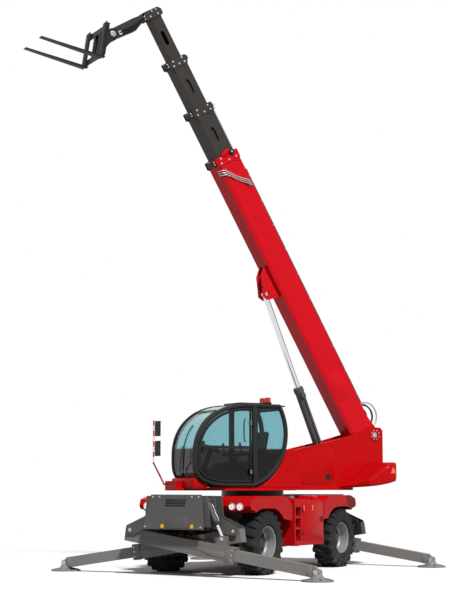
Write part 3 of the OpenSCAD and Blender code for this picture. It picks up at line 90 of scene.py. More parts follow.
class Bench:
    """Hand tools: every mesh starts as a primitive and is shaped by operators."""

    @staticmethod
    def clear() -> None:
        """Leaves edit mode and selects nothing."""
        if bpy.context.object and bpy.context.object.mode != "OBJECT":
            bpy.ops.object.mode_set(mode="OBJECT")
        bpy.ops.object.select_all(action="DESELECT")

    @staticmethod
    def pick(obj: Thing) -> None:
        """Makes one object the only selected and the active one."""
        Bench.clear()
        obj.select_set(True)
        bpy.context.view_layer.objects.active = obj

    @staticmethod
    def settle(obj: Thing, place: Optional[Matrix] = None) -> Thing:
        """Puts an object's place into its mesh.

        Args:
            obj: The object, with its own location, turn and scale.
            place: A further frame that the object is carried into.

        Returns:
            The same object, at the origin and unturned.
        """
        Bench.pick(obj)
        if place is not None:
            bpy.context.view_layer.update()
            obj.matrix_world = place @ obj.matrix_world
        bpy.ops.object.transform_apply(location=True, rotation=True, scale=True)
        return obj

    @staticmethod
    def modify(obj: Thing, kind: str, **values: object) -> Thing:
        """Adds one modifier, sets its values and applies it.

        Args:
            obj: The mesh object.
            kind: Blender's name of the modifier type.
            **values: The modifier's settings.

        Returns:
            The same object.
        """
        Bench.pick(obj)
        modifier = obj.modifiers.new(kind.title(), kind)
        for key, value in values.items():
            setattr(modifier, key, value)
        bpy.ops.object.modifier_apply(modifier=modifier.name)
        return obj

    @staticmethod
    def soften(obj: Thing, width: float, segments: int = 2) -> Thing:
        """Rounds the sharp edges of a mesh."""
        return Bench.modify(
            obj, "BEVEL", width=width, segments=segments, limit_method="ANGLE",
            angle_limit=math.radians(30), use_clamp_overlap=True,
        )

    @staticmethod
    def block(name: str, low: Point, high: Point, edge: float = 0.004) -> Thing:
        """Makes a block between two corners, with rounded edges.

        Args:
            name: Name of the piece.
            low: Lowest corner.
            high: Highest corner.
            edge: Radius of its edges.

        Returns:
            The new object, still in its own frame.
        """
        Bench.clear()
        low_v, high_v = Vector(low), Vector(high)
        bpy.ops.mesh.primitive_cube_add(size=1, location=(low_v + high_v) / 2)
        obj = bpy.context.object
        obj.name = name
        obj.scale = high_v - low_v
        Bench.settle(obj)
        if edge > 0:
            Bench.soften(obj, edge)
        return obj

    @staticmethod
    def bar(
        name: str, start: Point, end: Point, radius: float, sides: int = 24, edge: float = 0.0,
        tip: Optional[float] = None,
    ) -> Thing:
        """Makes a round bar between two points.

        Args:
            name: Name of the piece.
            start: Middle of one end.
            end: Middle of the other end.
            radius: Radius at the start.
            sides: Facets around it.
            edge: Radius of the rounded rims, or nothing.
            tip: Radius at the end, if it tapers.

        Returns:
            The new object.
        """
        Bench.clear()
        way = Vector(end) - Vector(start)
        bpy.ops.mesh.primitive_cone_add(
            vertices=sides, radius1=radius, radius2=radius if tip is None else tip, depth=way.length,
            end_fill_type="NGON", location=(Vector(start) + Vector(end)) / 2,
            rotation=way.to_track_quat("Z", "Y").to_euler(),
        )
        obj = bpy.context.object
        obj.name = name
        Bench.settle(obj)
        if edge > 0:
            Bench.soften(obj, edge)
        return obj

    @staticmethod
    def slab(
        name: str, outline: Sequence[Point], low: float, high: float, axis: Axis = Axis.Y, edge: float = 0.0
    ) -> Thing:
        """Makes a plate from an outline: a filled ring of points, pulled to its thickness.

        Args:
            name: Name of the piece.
            outline: Points in the plane across the axis: x and z, y and z, or x and y.
            low: Where the plate starts along the axis.
            high: Where it ends.
            axis: The axis across the plate.
            edge: Radius of its edges, or nothing.

        Returns:
            The new object.
        """
        Bench.clear()
        bpy.ops.mesh.primitive_circle_add(vertices=len(outline), radius=1, fill_type="NGON")
        obj = bpy.context.object
        obj.name = name
        for vertex, (a, b) in zip(obj.data.vertices, outline):
            spots = {Axis.X: (low, a, b), Axis.Y: (a, low, b), Axis.Z: (a, b, low)}
            vertex.co = spots[axis]
        bpy.ops.object.mode_set(mode="EDIT")
        bpy.ops.mesh.select_all(action="SELECT")
        shift = Vector(axis.value) * (high - low)
        bpy.ops.mesh.extrude_region_move(TRANSFORM_OT_translate={"value": tuple(shift)})
        bpy.ops.mesh.select_all(action="SELECT")
        bpy.ops.mesh.normals_make_consistent(inside=False)
        bpy.ops.object.mode_set(mode="OBJECT")
        if edge > 0:
            Bench.soften(obj, edge)
        return obj

    @staticmethod
    def spun(name: str, profile: Sequence[Point], steps: int = 64) -> Thing:
        """Spins a closed profile around the Y axis.

        Args:
            name: Name of the piece.
            profile: Points as (radius, y).
            steps: Facets around it.

        Returns:
            The new object.
        """
        Bench.clear()
        bpy.ops.mesh.primitive_circle_add(vertices=len(profile), radius=1, fill_type="NOTHING")
        obj = bpy.context.object
        obj.name = name
        for vertex, (radius, height) in zip(obj.data.vertices, profile):
            vertex.co = (radius, height, 0.0)
        bpy.ops.object.mode_set(mode="EDIT")
        bpy.ops.mesh.select_all(action="SELECT")
        bpy.ops.mesh.spin(steps=steps, angle=math.tau, center=(0, 0, 0), axis=(0, 1, 0))
        bpy.ops.mesh.select_all(action="SELECT")
        bpy.ops.mesh.remove_doubles(threshold=1e-5)
        bpy.ops.mesh.normals_make_consistent(inside=False)
        bpy.ops.object.mode_set(mode="OBJECT")
        return obj

    @staticmethod
    def pipe(name: str, points: Sequence[Point], radius: float, smooth: bool = True, sides: int = 4) -> Thing:
        """Makes a round pipe with closed ends along points and turns it into a mesh.

        Args:
            name: Name of the piece.
            points: Middle line of the pipe.
            radius: Its outer radius.
            smooth: Whether the line bends smoothly through the points.
            sides: Resolution of the round, as a curve's bevel has it.

        Returns:
            The new mesh object.
        """
        curve = bpy.data.curves.new(name, "CURVE")
        curve.dimensions = "3D"
        curve.bevel_depth = radius
        curve.bevel_resolution = sides
        curve.use_fill_caps = True
        curve.resolution_u = 6
        if smooth:
            spline = curve.splines.new("BEZIER")
            spline.bezier_points.add(len(points) - 1)
            for knot, point in zip(spline.bezier_points, points):
                knot.co = point
                knot.handle_left_type = knot.handle_right_type = "AUTO"
        else:
            spline = curve.splines.new("POLY")
            spline.points.add(len(points) - 1)
            for knot, point in zip(spline.points, points):
                knot.co = (*point, 1.0)
        obj = bpy.data.objects.new(name, curve)
        bpy.context.scene.collection.objects.link(obj)
        Bench.pick(obj)
        bpy.ops.object.convert(target="MESH")
        obj = bpy.context.object
        obj.name = name
        return obj

    @staticmethod
    def join(name: str, parts: Sequence[Thing]) -> Thing:
        """Joins several objects, which are used up, into one piece with a name."""
        Bench.clear()
        for part in parts:
            part.select_set(True)
        bpy.context.view_layer.objects.active = parts[0]
        if len(parts) > 1:
            bpy.ops.object.join()
        obj = bpy.context.object
        obj.name = name
        return obj

    @staticmethod
    def twin(source: Thing, name: str) -> Thing:
        """Copies an object with its mesh under a name."""
        copy = source.copy()
        copy.data = source.data.copy()
        copy.name = name
        bpy.context.scene.collection.objects.link(copy)
        return copy

    @staticmethod
    def repeat(name: str, part: Thing, places: Iterable[Matrix]) -> Thing:
        """Copies one object, which is used up, to several places and joins the copies.

        Args:
            name: Name of the joined piece.
            part: The object to copy.
            places: A frame for each copy.

        Returns:
            The joined object.
        """
        copies = [Bench.settle(Bench.twin(part, name), place) for place in places]
        bpy.data.objects.remove(part)
        return Bench.join(name, copies)

    @staticmethod
    def bolt(radius: float, height: float) -> Thing:
        """Makes a hexagon bolt head on a washer, standing on the origin along +Z."""
        washer = Bench.bar("washer", (0, 0, 0), (0, 0, height * 0.25), radius * 1.35, 20, height * 0.06)
        head = Bench.bar("head", (0, 0, height * 0.2), (0, 0, height), radius, 6, radius * 0.12)
        return Bench.join("bolt", [washer, head])

    @staticmethod
    def sides(
        name: str, outline: Sequence[Point], inner: float, outer: float, edge: float = 0.0
    ) -> list[Thing]:
        """Makes a plate on each side of the middle, as mirror images.

        Args:
            name: Name of the plates.
            outline: Points in x and z.
            inner: Distance of the inner face from the middle.
            outer: Distance of the outer face.
            edge: Radius of the edges, or nothing.

        Returns:
            The two plates.
        """
        spans = [sorted((hand * inner, hand * outer)) for hand in HANDS]
        return [Bench.slab(name, outline, low, high, Axis.Y, edge) for low, high in spans]

    @staticmethod
    def heads(
        spot: Point, inner: float, outer: float, radius: float, facets: int, edge: float
    ) -> list[Thing]:
        """Makes the round heads of a cross pin, one on each side.

        Args:
            spot: Place of the pin in x and z.
            inner: Where the heads start, from the middle.
            outer: Where they end.
            radius: Their radius.
            facets: Facets around them.
            edge: Radius of their rims.

        Returns:
            The two heads.
        """
        x, z = spot
        return [
            Bench.bar("head", (x, hand * inner, z), (x, hand * outer, z), radius, facets, edge)
            for hand in HANDS
        ]

    @staticmethod
    def gland(
        name: str, bore: float, radius: float, nose: float, length: float, lip: float, steps: int
    ) -> Thing:
        """Spins a cylinder's gland around a rod.

        Args:
            name: Name of the piece.
            bore: Radius of its hole.
            radius: Its outer radius.
            nose: Radius of its tapered end.
            length: Length behind the barrel's mouth.
            lip: Length ahead of the mouth.
            steps: Facets around it.

        Returns:
            The gland, along Y.
        """
        profile = [(bore, -length), (radius, -length), (radius, 0.0), (nose, lip), (bore, lip)]
        return Bench.spun(name, profile, steps)


class Nodes:
    """Shared shader node groups and the wiring of materials."""

    groups: dict[str, Tree] = {}

    @staticmethod
    def wire(tree: Tree, *pairs: tuple[Socket, Socket]) -> None:
        """Joins outputs to inputs, given in pairs."""
        for source, target in pairs:
            tree.links.new(source, target)

    @staticmethod
    def add(tree: Tree, kind: str, operation: str = "", **values: object) -> bpy.types.Node:
        """Adds a shader node.

        Args:
            tree: The node tree.
            kind: Blender's name of the node, without its first word.
            operation: What a math node does.
            **values: Input values by name, with _ for a blank.

        Returns:
            The new node.
        """
        node = tree.nodes.new(f"ShaderNode{kind}")
        if operation:
            node.operation = operation
        for label, value in values.items():
            node.inputs[label.replace("_", " ")].default_value = value
        return node

    @classmethod
    def times(cls, tree: Tree, factor: Optional[float] = None) -> bpy.types.Node:
        """Adds a product of two values, the second one set here if it is given."""
        node = cls.add(tree, "Math", "MULTIPLY")
        if factor is not None:
            node.inputs[1].default_value = factor
        return node

    @classmethod
    def group(
        cls, name: str, result: str, **inputs: float
    ) -> tuple[Tree, bpy.types.NodeOutputs, Socket, Socket]:
        """Starts a shader node group.

        Args:
            name: Name of the group.
            result: Name of its output.
            **inputs: First value of each input.

        Returns:
            The tree, what its inputs give, where its result goes, and the place on the object.
        """
        tree = bpy.data.node_groups.new(name, "ShaderNodeTree")
        for label, value in inputs.items():
            socket = tree.interface.new_socket(label, in_out="INPUT", socket_type="NodeSocketFloat")
            socket.default_value = value
        tree.interface.new_socket(result, in_out="OUTPUT", socket_type="NodeSocketFloat")
        cls.groups[name] = tree
        start, end = tree.nodes.new("NodeGroupInput"), tree.nodes.new("NodeGroupOutput")
        return tree, start.outputs, end.inputs[result], cls.add(tree, "TexCoord").outputs["Object"]

    @classmethod
    def build(cls) -> None:
        """Builds the groups that the finishes share."""
        cls.build_mottle()
        cls.build_dust()
        cls.build_grain()
        cls.build_scuff()

    @classmethod
    def build_mottle(cls) -> None:
        """Slow change of tone over a surface: a value around one."""
        tree, given, tone, spot = cls.group("tone_drift", "Tone", Scale=1.0, Spread=0.1)
        noise = cls.add(tree, "TexNoise", Detail=4.0)
        shift = cls.add(tree, "Math", "SUBTRACT")
        shift.inputs[1].default_value = 0.5
        spread = cls.add(tree, "Math", "MULTIPLY_ADD")
        spread.inputs[2].default_value = 1.0
        cls.wire(
            tree, (spot, noise.inputs["Vector"]), (given["Scale"], noise.inputs["Scale"]),
            (noise.outputs["Fac"], shift.inputs[0]), (shift.outputs[0], spread.inputs[0]),
            (given["Spread"], spread.inputs[1]), (spread.outputs[0], tone),
        )

    @classmethod
    def build_dust(cls) -> None:
        """Road dust that thins out with height and gathers in patches: a mask."""
        tree, given, mask, spot = cls.group("road_dust", "Mask", Height=1.2, Amount=0.5, Scale=6.0)
        split = cls.add(tree, "SeparateXYZ")
        fade = cls.add(tree, "MapRange", From_Max=0.0)
        noise = cls.add(tree, "TexNoise", Detail=6.0)
        patch = cls.add(tree, "MapRange", From_Min=0.35, From_Max=0.75)
        both, amount = cls.times(tree), cls.times(tree)
        cls.wire(
            tree, (spot, split.inputs[0]), (spot, noise.inputs["Vector"]),
            (given["Scale"], noise.inputs["Scale"]),
            (split.outputs["Z"], fade.inputs["Value"]), (given["Height"], fade.inputs["From Min"]),
            (noise.outputs["Fac"], patch.inputs["Value"]), (fade.outputs[0], both.inputs[0]),
            (patch.outputs[0], both.inputs[1]), (both.outputs[0], amount.inputs[0]),
            (given["Amount"], amount.inputs[1]), (amount.outputs[0], mask),
        )

    @classmethod
    def build_grain(cls) -> None:
        """Fine grain of a surface: a height for a bump."""
        tree, given, height, spot = cls.group("fine_grain", "Height", Scale=200.0, Detail=3.0)
        noise = cls.add(tree, "TexNoise")
        cls.wire(
            tree, (spot, noise.inputs["Vector"]), (given["Scale"], noise.inputs["Scale"]),
            (given["Detail"], noise.inputs["Detail"]), (noise.outputs["Fac"], height),
        )

    @classmethod
    def build_scuff(cls) -> None:
        """Sparse rubbed spots: a mask."""
        tree, given, mask, spot = cls.group("rubbed_spots", "Mask", Scale=9.0, Amount=0.3)
        stretch = cls.add(tree, "Mapping", Scale=(1.0, 1.0, 3.0))
        noise = cls.add(tree, "TexNoise", Detail=8.0, Roughness=0.7)
        peaks = cls.add(tree, "MapRange", From_Min=0.6, From_Max=0.75)
        amount = cls.times(tree)
        cls.wire(
            tree, (spot, stretch.inputs["Vector"]), (stretch.outputs[0], noise.inputs["Vector"]),
            (given["Scale"], noise.inputs["Scale"]), (noise.outputs["Fac"], peaks.inputs["Value"]),
            (peaks.outputs[0], amount.inputs[0]), (given["Amount"], amount.inputs[1]),
            (amount.outputs[0], mask),
        )

    @classmethod
    def blend(cls, tree: Tree, mask: Socket, over: Colour) -> tuple[Socket, Socket]:
        """Puts a colour over another one where a mask is set.

        Args:
            tree: The material's node tree.
            mask: Output that gives the mask.
            over: The colour that is put over.

        Returns:
            The input for the colour below, and the output with the result.
        """
        mix = tree.nodes.new("ShaderNodeMix")
        mix.data_type = "RGBA"
        below, above = (
            next(socket for socket in mix.inputs if socket.name == side and socket.type == "RGBA")
            for side in "AB"
        )
        above.default_value = (*over, 1.0)
        cls.wire(tree, (mask, mix.inputs["Factor"]))
        return below, next(socket for socket in mix.outputs if socket.type == "RGBA")

    @classmethod
    def place(cls, tree: Tree, name: str, **values: float) -> bpy.types.Node:
        """Puts a shared group into a material with its own input values."""
        node = tree.nodes.new("ShaderNodeGroup")
        node.node_tree = cls.groups[name]
        for key, value in values.items():
            node.inputs[key].default_value = value
        return node


@dataclass(frozen=True)
class Finish:
    """One surface finish: a colour with drift, dust, rubbed spots and grain.

    Attributes:
        name: Name of the material.
        colour: Its main colour.
        roughness: Roughness where it is clean.
        metallic: How much of a metal it is.
        coat: Weight of a clear coat.
        drift: How far its tone drifts over the surface.
        drift_scale: Scale of that drift.
        dust: How much dust lies on it near the ground.
        dust_height: Height where the dust ends.
        rubbed: How strong rubbed spots show.
        rubbed_colour: Colour under the rubbed spots.
        dust_colour: Colour of the dust.
        grain: Depth of the grain, as a bump distance.
        grain_scale: Scale of the grain.
        glow: Strength of its own light, for lamps.
        shine: Specular level where it isn't a metal.
    """

    name: str
    colour: Colour
    roughness: float = 0.4
    metallic: float = 0.0
    coat: float = 0.0
    drift: float = 0.12
    drift_scale: float = 1.3
    dust: float = 0.25
    dust_height: float = 1.3
    rubbed: float = 0.0
    rubbed_colour: Colour = (0.3, 0.3, 0.3)
    dust_colour: Colour = (0.30, 0.265, 0.22)
    grain: float = 0.0004
    grain_scale: float = 160.0
    # glow: Strength of its own light: for lamps, and a painted glow where a lamp finish covers a part that is
    # no lamp.
    glow: float = 0.0
    shine: float = 0.12

    def make(self) -> Material:
        """Builds the material.

        Returns:
            The new material, made of shared groups around one shader.
        """
        material = bpy.data.materials.new(self.name)
        material.use_nodes = True
        tree = material.node_tree
        shader = tree.nodes["Principled BSDF"].inputs
        shader["Metallic"].default_value = self.metallic
        shader["Coat Weight"].default_value = self.coat
        shader["Coat Roughness"].default_value = 0.08
        shader["Specular IOR Level"].default_value = 0.5 if self.metallic > 0 else self.shine
        if self.glow > 0:
            shader["Emission Color"].default_value = (*self.colour, 1.0)
            shader["Emission Strength"].default_value = self.glow
        self.wire_colour(tree, shader["Base Color"])
        self.wire_surface(tree, shader)
        return material

    def wire_colour(self, tree: Tree, base: Socket) -> None:
        """Wires the colour: main colour with drift, rubbed spots and dust over it."""
        drift = Nodes.place(tree, "tone_drift", Scale=self.drift_scale, Spread=self.drift)
        tint = Nodes.add(tree, "VectorMath", "SCALE")
        tint.inputs[0].default_value = self.colour
        rubbed = Nodes.place(tree, "rubbed_spots", Scale=7.0, Amount=self.rubbed)
        worn_in, worn_out = Nodes.blend(tree, rubbed.outputs["Mask"], self.rubbed_colour)
        dust = Nodes.place(tree, "road_dust", Height=self.dust_height, Amount=self.dust)
        dusty_in, dusty_out = Nodes.blend(tree, dust.outputs["Mask"], self.dust_colour)
        Nodes.wire(
            tree, (drift.outputs["Tone"], tint.inputs["Scale"]), (tint.outputs["Vector"], worn_in),
            (worn_out, dusty_in), (dusty_out, base),
        )

    def wire_surface(self, tree: Tree, shader: bpy.types.NodeInputs) -> None:
        """Wires roughness and the bump of the grain."""
        change = Nodes.place(tree, "tone_drift", Scale=self.drift_scale * 4.0, Spread=0.35)
        rough = Nodes.times(tree, self.roughness)
        rough.use_clamp = True
        grain = Nodes.place(tree, "fine_grain", Scale=self.grain_scale)
        bump = Nodes.add(tree, "Bump", Distance=self.grain, Strength=1.0)
        Nodes.wire(
            tree, (change.outputs["Tone"], rough.inputs[0]), (rough.outputs[0], shader["Roughness"]),
            (grain.outputs["Height"], bump.inputs["Height"]), (bump.outputs["Normal"], shader["Normal"]),
        )


@dataclass(frozen=True)
class GlassFinish:
    """Window glass: light blue above a height, dark below it.

    Attributes:
        name: Name of the material.
        upper: Tint of the upper panes.
        lower: Tint of the lower panes.
        split: Height between them.
        fade: Half of the height over which one tint turns into the other.
    """

    name: str
    upper: Colour
    lower: Colour
    split: float
    fade: float = 0.02

    def make(self) -> Material:
        """Builds the material.

        Returns:
            The new see-through material.
        """
        material = bpy.data.materials.new(self.name)
        material.use_nodes = True
        tree = material.node_tree
        shader = tree.nodes["Principled BSDF"].inputs
        shader["Transmission Weight"].default_value = 1.0
        shader["IOR"].default_value = 1.30
        spot = Nodes.add(tree, "TexCoord")
        axes = Nodes.add(tree, "SeparateXYZ")
        step = Nodes.add(tree, "MapRange", From_Min=self.split - self.fade, From_Max=self.split + self.fade)
        below, tint = Nodes.blend(tree, step.outputs[0], self.upper)
        below.default_value = (*self.lower, 1.0)
        film = Nodes.place(tree, "tone_drift", Scale=2.5, Spread=0.8)
        rough = Nodes.times(tree, 0.02)
        Nodes.wire(
            tree, (spot.outputs["Object"], axes.inputs[0]), (axes.outputs["Z"], step.inputs["Value"]),
            (tint, shader["Base Color"]), (film.outputs["Tone"], rough.inputs[0]),
            (rough.outputs[0], shader["Roughness"]),
        )
        return material


class Palette:
    """All finishes of the machine, made once and shared.

    Attributes:
        SLOTS: Names of the finishes that belong to each of the record's material slots.
    """

    SLOTS: dict[Slot, tuple[str, ...]] = {
        Slot.RED: ("red_gloss", "boom_red", "band_white"),
        Slot.DARK: ("dark_enamel", "guard_enamel", "inner_boom_enamel"),
        Slot.LEG: ("leg_enamel", "inner_leg_enamel"),
        Slot.TYRE: ("tyre_rubber",),
        Slot.RIM: ("rim_silver", "hub_painted_shade"),
        Slot.CHROME: ("chrome_rod", "bright_steel", "mirror_face"),
        Slot.GLASS: ("cab_glass",),
        Slot.VINYL: ("seat_vinyl",),
        Slot.PLASTIC: ("black_plastic", "hose_rubber"),
        Slot.LENS: ("lamp_clear",),
        Slot.AMBER: ("lamp_amber", "lamp_red", "clip_yellow"),
        Slot.FORK: ("fork_black",),
    }

    @classmethod
    def slot_of(cls, material: Material) -> Slot:
        """Gives the material slot that a finish belongs to, whatever number its name ends in."""
        name = material.name.split(".")[0]
        return next(slot for slot, names in cls.SLOTS.items() if name in names)

    def __init__(self) -> None:
        Nodes.build()
        self.red = Finish(
            "red_gloss", (0.480, 0.0025, 0.0040), roughness=0.36, coat=0.06, drift=0.16, dust=0.02,
            rubbed=0.10, rubbed_colour=(0.34, 0.02, 0.025), grain=0.0005, grain_scale=70.0, shine=0.05,
        ).make()
        # A lighter copy of the body red for the boom: painted light, standing in for the boom's sides being
        # lit brighter than the turret's.
        self.boom_red = Finish(
            "boom_red", (0.600, 0.0040, 0.0110), roughness=0.32, coat=0.06, drift=0.16, drift_scale=0.8,
            dust=0.0,
            rubbed=0.10, rubbed_colour=(0.40, 0.02, 0.025), grain=0.0005, grain_scale=70.0, shine=0.08,
        ).make()
        self.dark = Finish(
            "dark_enamel", (0.020, 0.020, 0.021), roughness=0.40, coat=0.06, drift=0.25, dust=0.15,
            rubbed=0.25, rubbed_colour=(0.12, 0.12, 0.12), grain_scale=90.0,
        ).make()
        self.leg = Finish(
            "leg_enamel", (0.175, 0.165, 0.158), roughness=0.45, coat=0.05, drift=0.25, dust=0.15,
            rubbed=0.25, rubbed_colour=(0.28, 0.28, 0.28), grain_scale=90.0,
        ).make()
        self.guard = Finish(
            "guard_enamel", (0.090, 0.086, 0.084), roughness=0.45, coat=0.05, drift=0.25, dust=0.18,
            rubbed=0.25, rubbed_colour=(0.14, 0.14, 0.14), grain_scale=90.0,
        ).make()
        self.inner_leg = Finish(
            "inner_leg_enamel", (0.215, 0.207, 0.200), roughness=0.42, drift=0.2, dust=0.15, rubbed=0.3,
            rubbed_colour=(0.36, 0.36, 0.36), grain_scale=90.0,
        ).make()
        self.inner_boom = Finish(
            "inner_boom_enamel", (0.042, 0.037, 0.034), roughness=0.4, coat=0.05, drift=0.25, rubbed=0.25,
            rubbed_colour=(0.2, 0.2, 0.2), grain_scale=90.0,
        ).make()
        self.rubber = Finish(
            "tyre_rubber", (0.020, 0.020, 0.021), roughness=0.78, drift=0.3, drift_scale=5.0, dust=0.20,
            dust_height=1.0, grain=0.002, grain_scale=120.0,
        ).make()
        self.rim = Finish(
            "rim_silver", (0.30, 0.305, 0.31), roughness=0.40, metallic=0.35, coat=0.12, dust=0.2,
            dust_height=1.0,
        ).make()
        # The wheel's disc, nuts and cap bolts are painted dark grey: painted shade for the deep dish inside
        # the rim, in place of the rim's silver.
        self.hub = Finish(
            "hub_painted_shade", (0.045, 0.045, 0.048), roughness=0.5, drift=0.3, dust=0.3, dust_height=1.0,
        ).make()
        self.chrome = Finish(
            "chrome_rod", (0.72, 0.73, 0.75), roughness=0.12, metallic=1.0, drift=0.06, dust=0.0,
            grain=0.0001,
            grain_scale=400.0,
        ).make()
        self.steel = Finish(
            "bright_steel", (0.46, 0.46, 0.47), roughness=0.35, metallic=0.9, drift=0.2, dust=0.05,
            rubbed=0.2, rubbed_colour=(0.2, 0.19, 0.18),
        ).make()
        self.plastic = Finish(
            "black_plastic", (0.018, 0.018, 0.019), roughness=0.52, drift=0.2, dust=0.12, grain=0.0008,
            grain_scale=260.0,
        ).make()
        self.vinyl = Finish(
            "seat_vinyl", (0.022, 0.022, 0.024), roughness=0.6, drift=0.25, drift_scale=4.0, dust=0.0,
            grain=0.002,
            grain_scale=300.0,
        ).make()
        self.fork = Finish(
            "fork_black", (0.022, 0.022, 0.023), roughness=0.42, drift=0.3, dust=0.0, rubbed=0.5,
            rubbed_colour=(0.20, 0.19, 0.18), grain=0.0008,
        ).make()
        self.iron = Finish(
            "engine_iron", (0.07, 0.07, 0.072), roughness=0.6, drift=0.4, drift_scale=3.0, dust=0.4,
            grain=0.003,
        ).make()
        self.lens = Finish(
            "lamp_clear", (0.75, 0.77, 0.80), roughness=0.12, coat=0.6, drift=0.08, dust=0.05, grain=0.0006,
            grain_scale=80.0, glow=0.30,
        ).make()
        # The amber and red lamp finishes glow. On the reflectors, the mirror bar's red bands and sleeve, and
        # the oil cap, which are no lamps, that glow is painted light.
        self.amber = Finish(
            "lamp_amber", (0.80, 0.17, 0.012), roughness=0.18, coat=0.7, drift=0.1, dust=0.05, glow=0.10,
            grain_scale=80.0,
        ).make()
        self.beacon = Finish(
            "beacon_amber", (0.46, 0.045, 0.014), roughness=0.15, coat=0.6, drift=0.2, drift_scale=9.0,
            dust=0.05,
            grain_scale=80.0,
        ).make()
        self.lamp_red = Finish(
            "lamp_red", (0.62, 0.012, 0.012), roughness=0.18, coat=0.7, drift=0.1, dust=0.05, glow=0.08,
            grain_scale=80.0,
        ).make()
        self.white = Finish(
            "band_white", (0.78, 0.78, 0.77), roughness=0.4, drift=0.06, dust=0.05,
        ).make()
        self.yellow = Finish(
            "clip_yellow", (0.80, 0.42, 0.012), roughness=0.45, drift=0.1, dust=0.1,
        ).make()
        self.mirror = Finish(
            "mirror_face", (0.85, 0.86, 0.88), roughness=0.02, metallic=1.0, drift=0.02, dust=0.0, grain=0.0,
        ).make()
        self.hose = Finish(
            "hose_rubber", (0.014, 0.014, 0.015), roughness=0.55, drift=0.2, dust=0.1, grain=0.001,
            grain_scale=240.0,
        ).make()
        self.glass = GlassFinish(
            "cab_glass", upper=(0.43, 0.655, 0.69), lower=(0.13, 0.13, 0.13), split=2.27
        ).make()


class Rig:
    """Frames of the bodies at rest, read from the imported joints."""

    @staticmethod
    def at(origin: Point, along: Point, up: Point = (0.0, 0.0, 1.0)) -> Matrix:
        """Builds a frame with X along a direction and Z as near to another one as it can be.

        Args:
            origin: Where the frame stands.
            along: Direction of its X axis.
            up: Rough direction of its Z axis.

        Returns:
            The frame.
        """
        x = Vector(along).normalized()
        y = Vector(up).cross(x).normalized()
        z = x.cross(y)
        turn = Matrix((x, y, z)).transposed().to_4x4()
        return Matrix.Translation(Vector(origin)) @ turn

    @staticmethod
    def facing(point: Point, out: Point) -> Matrix:
        """Builds a frame at a point with Z pointing out of a surface."""
        return Matrix.Translation(Vector(point)) @ Vector(out).to_track_quat("Z", "Y").to_matrix().to_4x4()

    @classmethod
    def turret(cls) -> Matrix:
        """Gives the slewing frame: on the ground under the slew axis, X forward."""
        x, y, _ = JOINTS["slew"]["pos_m"]
        return cls.at((x, y, 0.0), (1.0, 0.0, 0.0))

    @classmethod
    def chassis(cls) -> Matrix:
        """Gives the chassis frame: on the ground under the slew axis, X towards the front axle."""
        x, y, _ = JOINTS["slew"]["pos_m"]
        axle = Vector(JOINTS["wheel_fl"]["axis"])
        return cls.at((x, y, 0.0), (axle.y, -axle.x, 0.0))

    @classmethod
    def wheel(cls, corner: str) -> Matrix:
        """Gives a wheel's frame: at its middle, Y pointing outwards."""
        joint = JOINTS[f"wheel_{corner}"]
        out = Vector(joint["axis"]) * (1.0 if corner.endswith("l") else -1.0)
        return cls.at(joint["pos_m"], out.cross(Vector((0.0, 0.0, 1.0))))

    @classmethod
    def hinge(cls, turning: str, sliding: str) -> Matrix:
        """Gives the frame of a pinned slider: at its pin, X along its slide."""
        return cls.at(JOINTS[turning]["pos_m"], JOINTS[sliding]["axis"])

    @classmethod
    def boom(cls) -> Matrix:
        """Gives the boom's frame: at its foot pin, X along the boom, Z on its upper side."""
        return cls.hinge("boom_lift", "boom_extend")

    @classmethod
    def carriage(cls, tilt: float) -> Matrix:
        """Gives the fork head's frame: at its tilt pin, X along the tines."""
        lean = math.radians(tilt)
        return cls.at(JOINTS["fork_tilt"]["pos_m"], (math.cos(lean), 0.0, math.sin(lean)))


@dataclass
class Assembly:
    """A group of modelled pieces that shares the palette, a body and a frame.

    Attributes:
        palette: The finishes.
        body: Name of the CAD body that carries the pieces.
        place: The frame that the pieces are modelled in.
    """

    palette: Palette
    body: str = ""
    place: Matrix = field(default_factory=lambda: Matrix.Identity(4))

    def keep(
        self, obj: Thing, material: Material, *, body: str = "", place: Optional[Matrix] = None,
        slot: Optional[Slot] = None, smooth: float = 35.0, replaces: Sequence[str] = (),
    ) -> Thing:
        """Finishes one piece: place, shading, material and the body it rides on.

        Args:
            obj: The modelled object.
            material: Its finish.
            body: Name of the CAD body that carries it, if it isn't the assembly's.
            place: The frame that it was modelled in, if it isn't the assembly's.
            slot: The record's material slot, if it isn't the finish's own.
            smooth: Largest angle between faces that is shaded smooth, in degrees.
            replaces: CAD nodes that it stands for.

        Returns:
            The same object.
        """
        Bench.settle(obj, self.place if place is None else place)
        obj.data.materials.clear()
        obj.data.materials.append(material)
        bpy.ops.object.shade_smooth_by_angle(angle=math.radians(smooth))
        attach(obj, body or self.body)
        (slot or self.palette.slot_of(material)).value
        if replaces:
            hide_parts(*replaces)
        return obj

    def fit(self, name: str, parts: Sequence[Thing], material: Material, **how: object) -> Thing:
        """Joins parts under one name and keeps them as one piece.

        Args:
            name: Name of the piece.
            parts: Its parts.
            material: Its finish.
            **how: Further settings of keep.

        Returns:
            The piece.
        """
        return self.keep(Bench.join(name, parts), material, **how)

    def bolts(
        self, name: str, radius: float, height: float, spots: Iterable[tuple[Point, Point]],
        material: Optional[Material] = None, **how: object,
    ) -> Thing:
        """Keeps a set of bolts as one piece.

        Args:
            name: Name of the piece.
            radius: Radius of a bolt's head.
            height: Height of a bolt's head.
            spots: Foot of each bolt and the direction that it points in.
            material: Its finish, if it isn't bright steel.
            **how: Further settings of keep.

        Returns:
            The piece.
        """
        row = Bench.repeat(name, Bench.bolt(radius, height), [Rig.facing(foot, out) for foot, out in spots])
        return self.keep(row, material or self.palette.steel, **how)


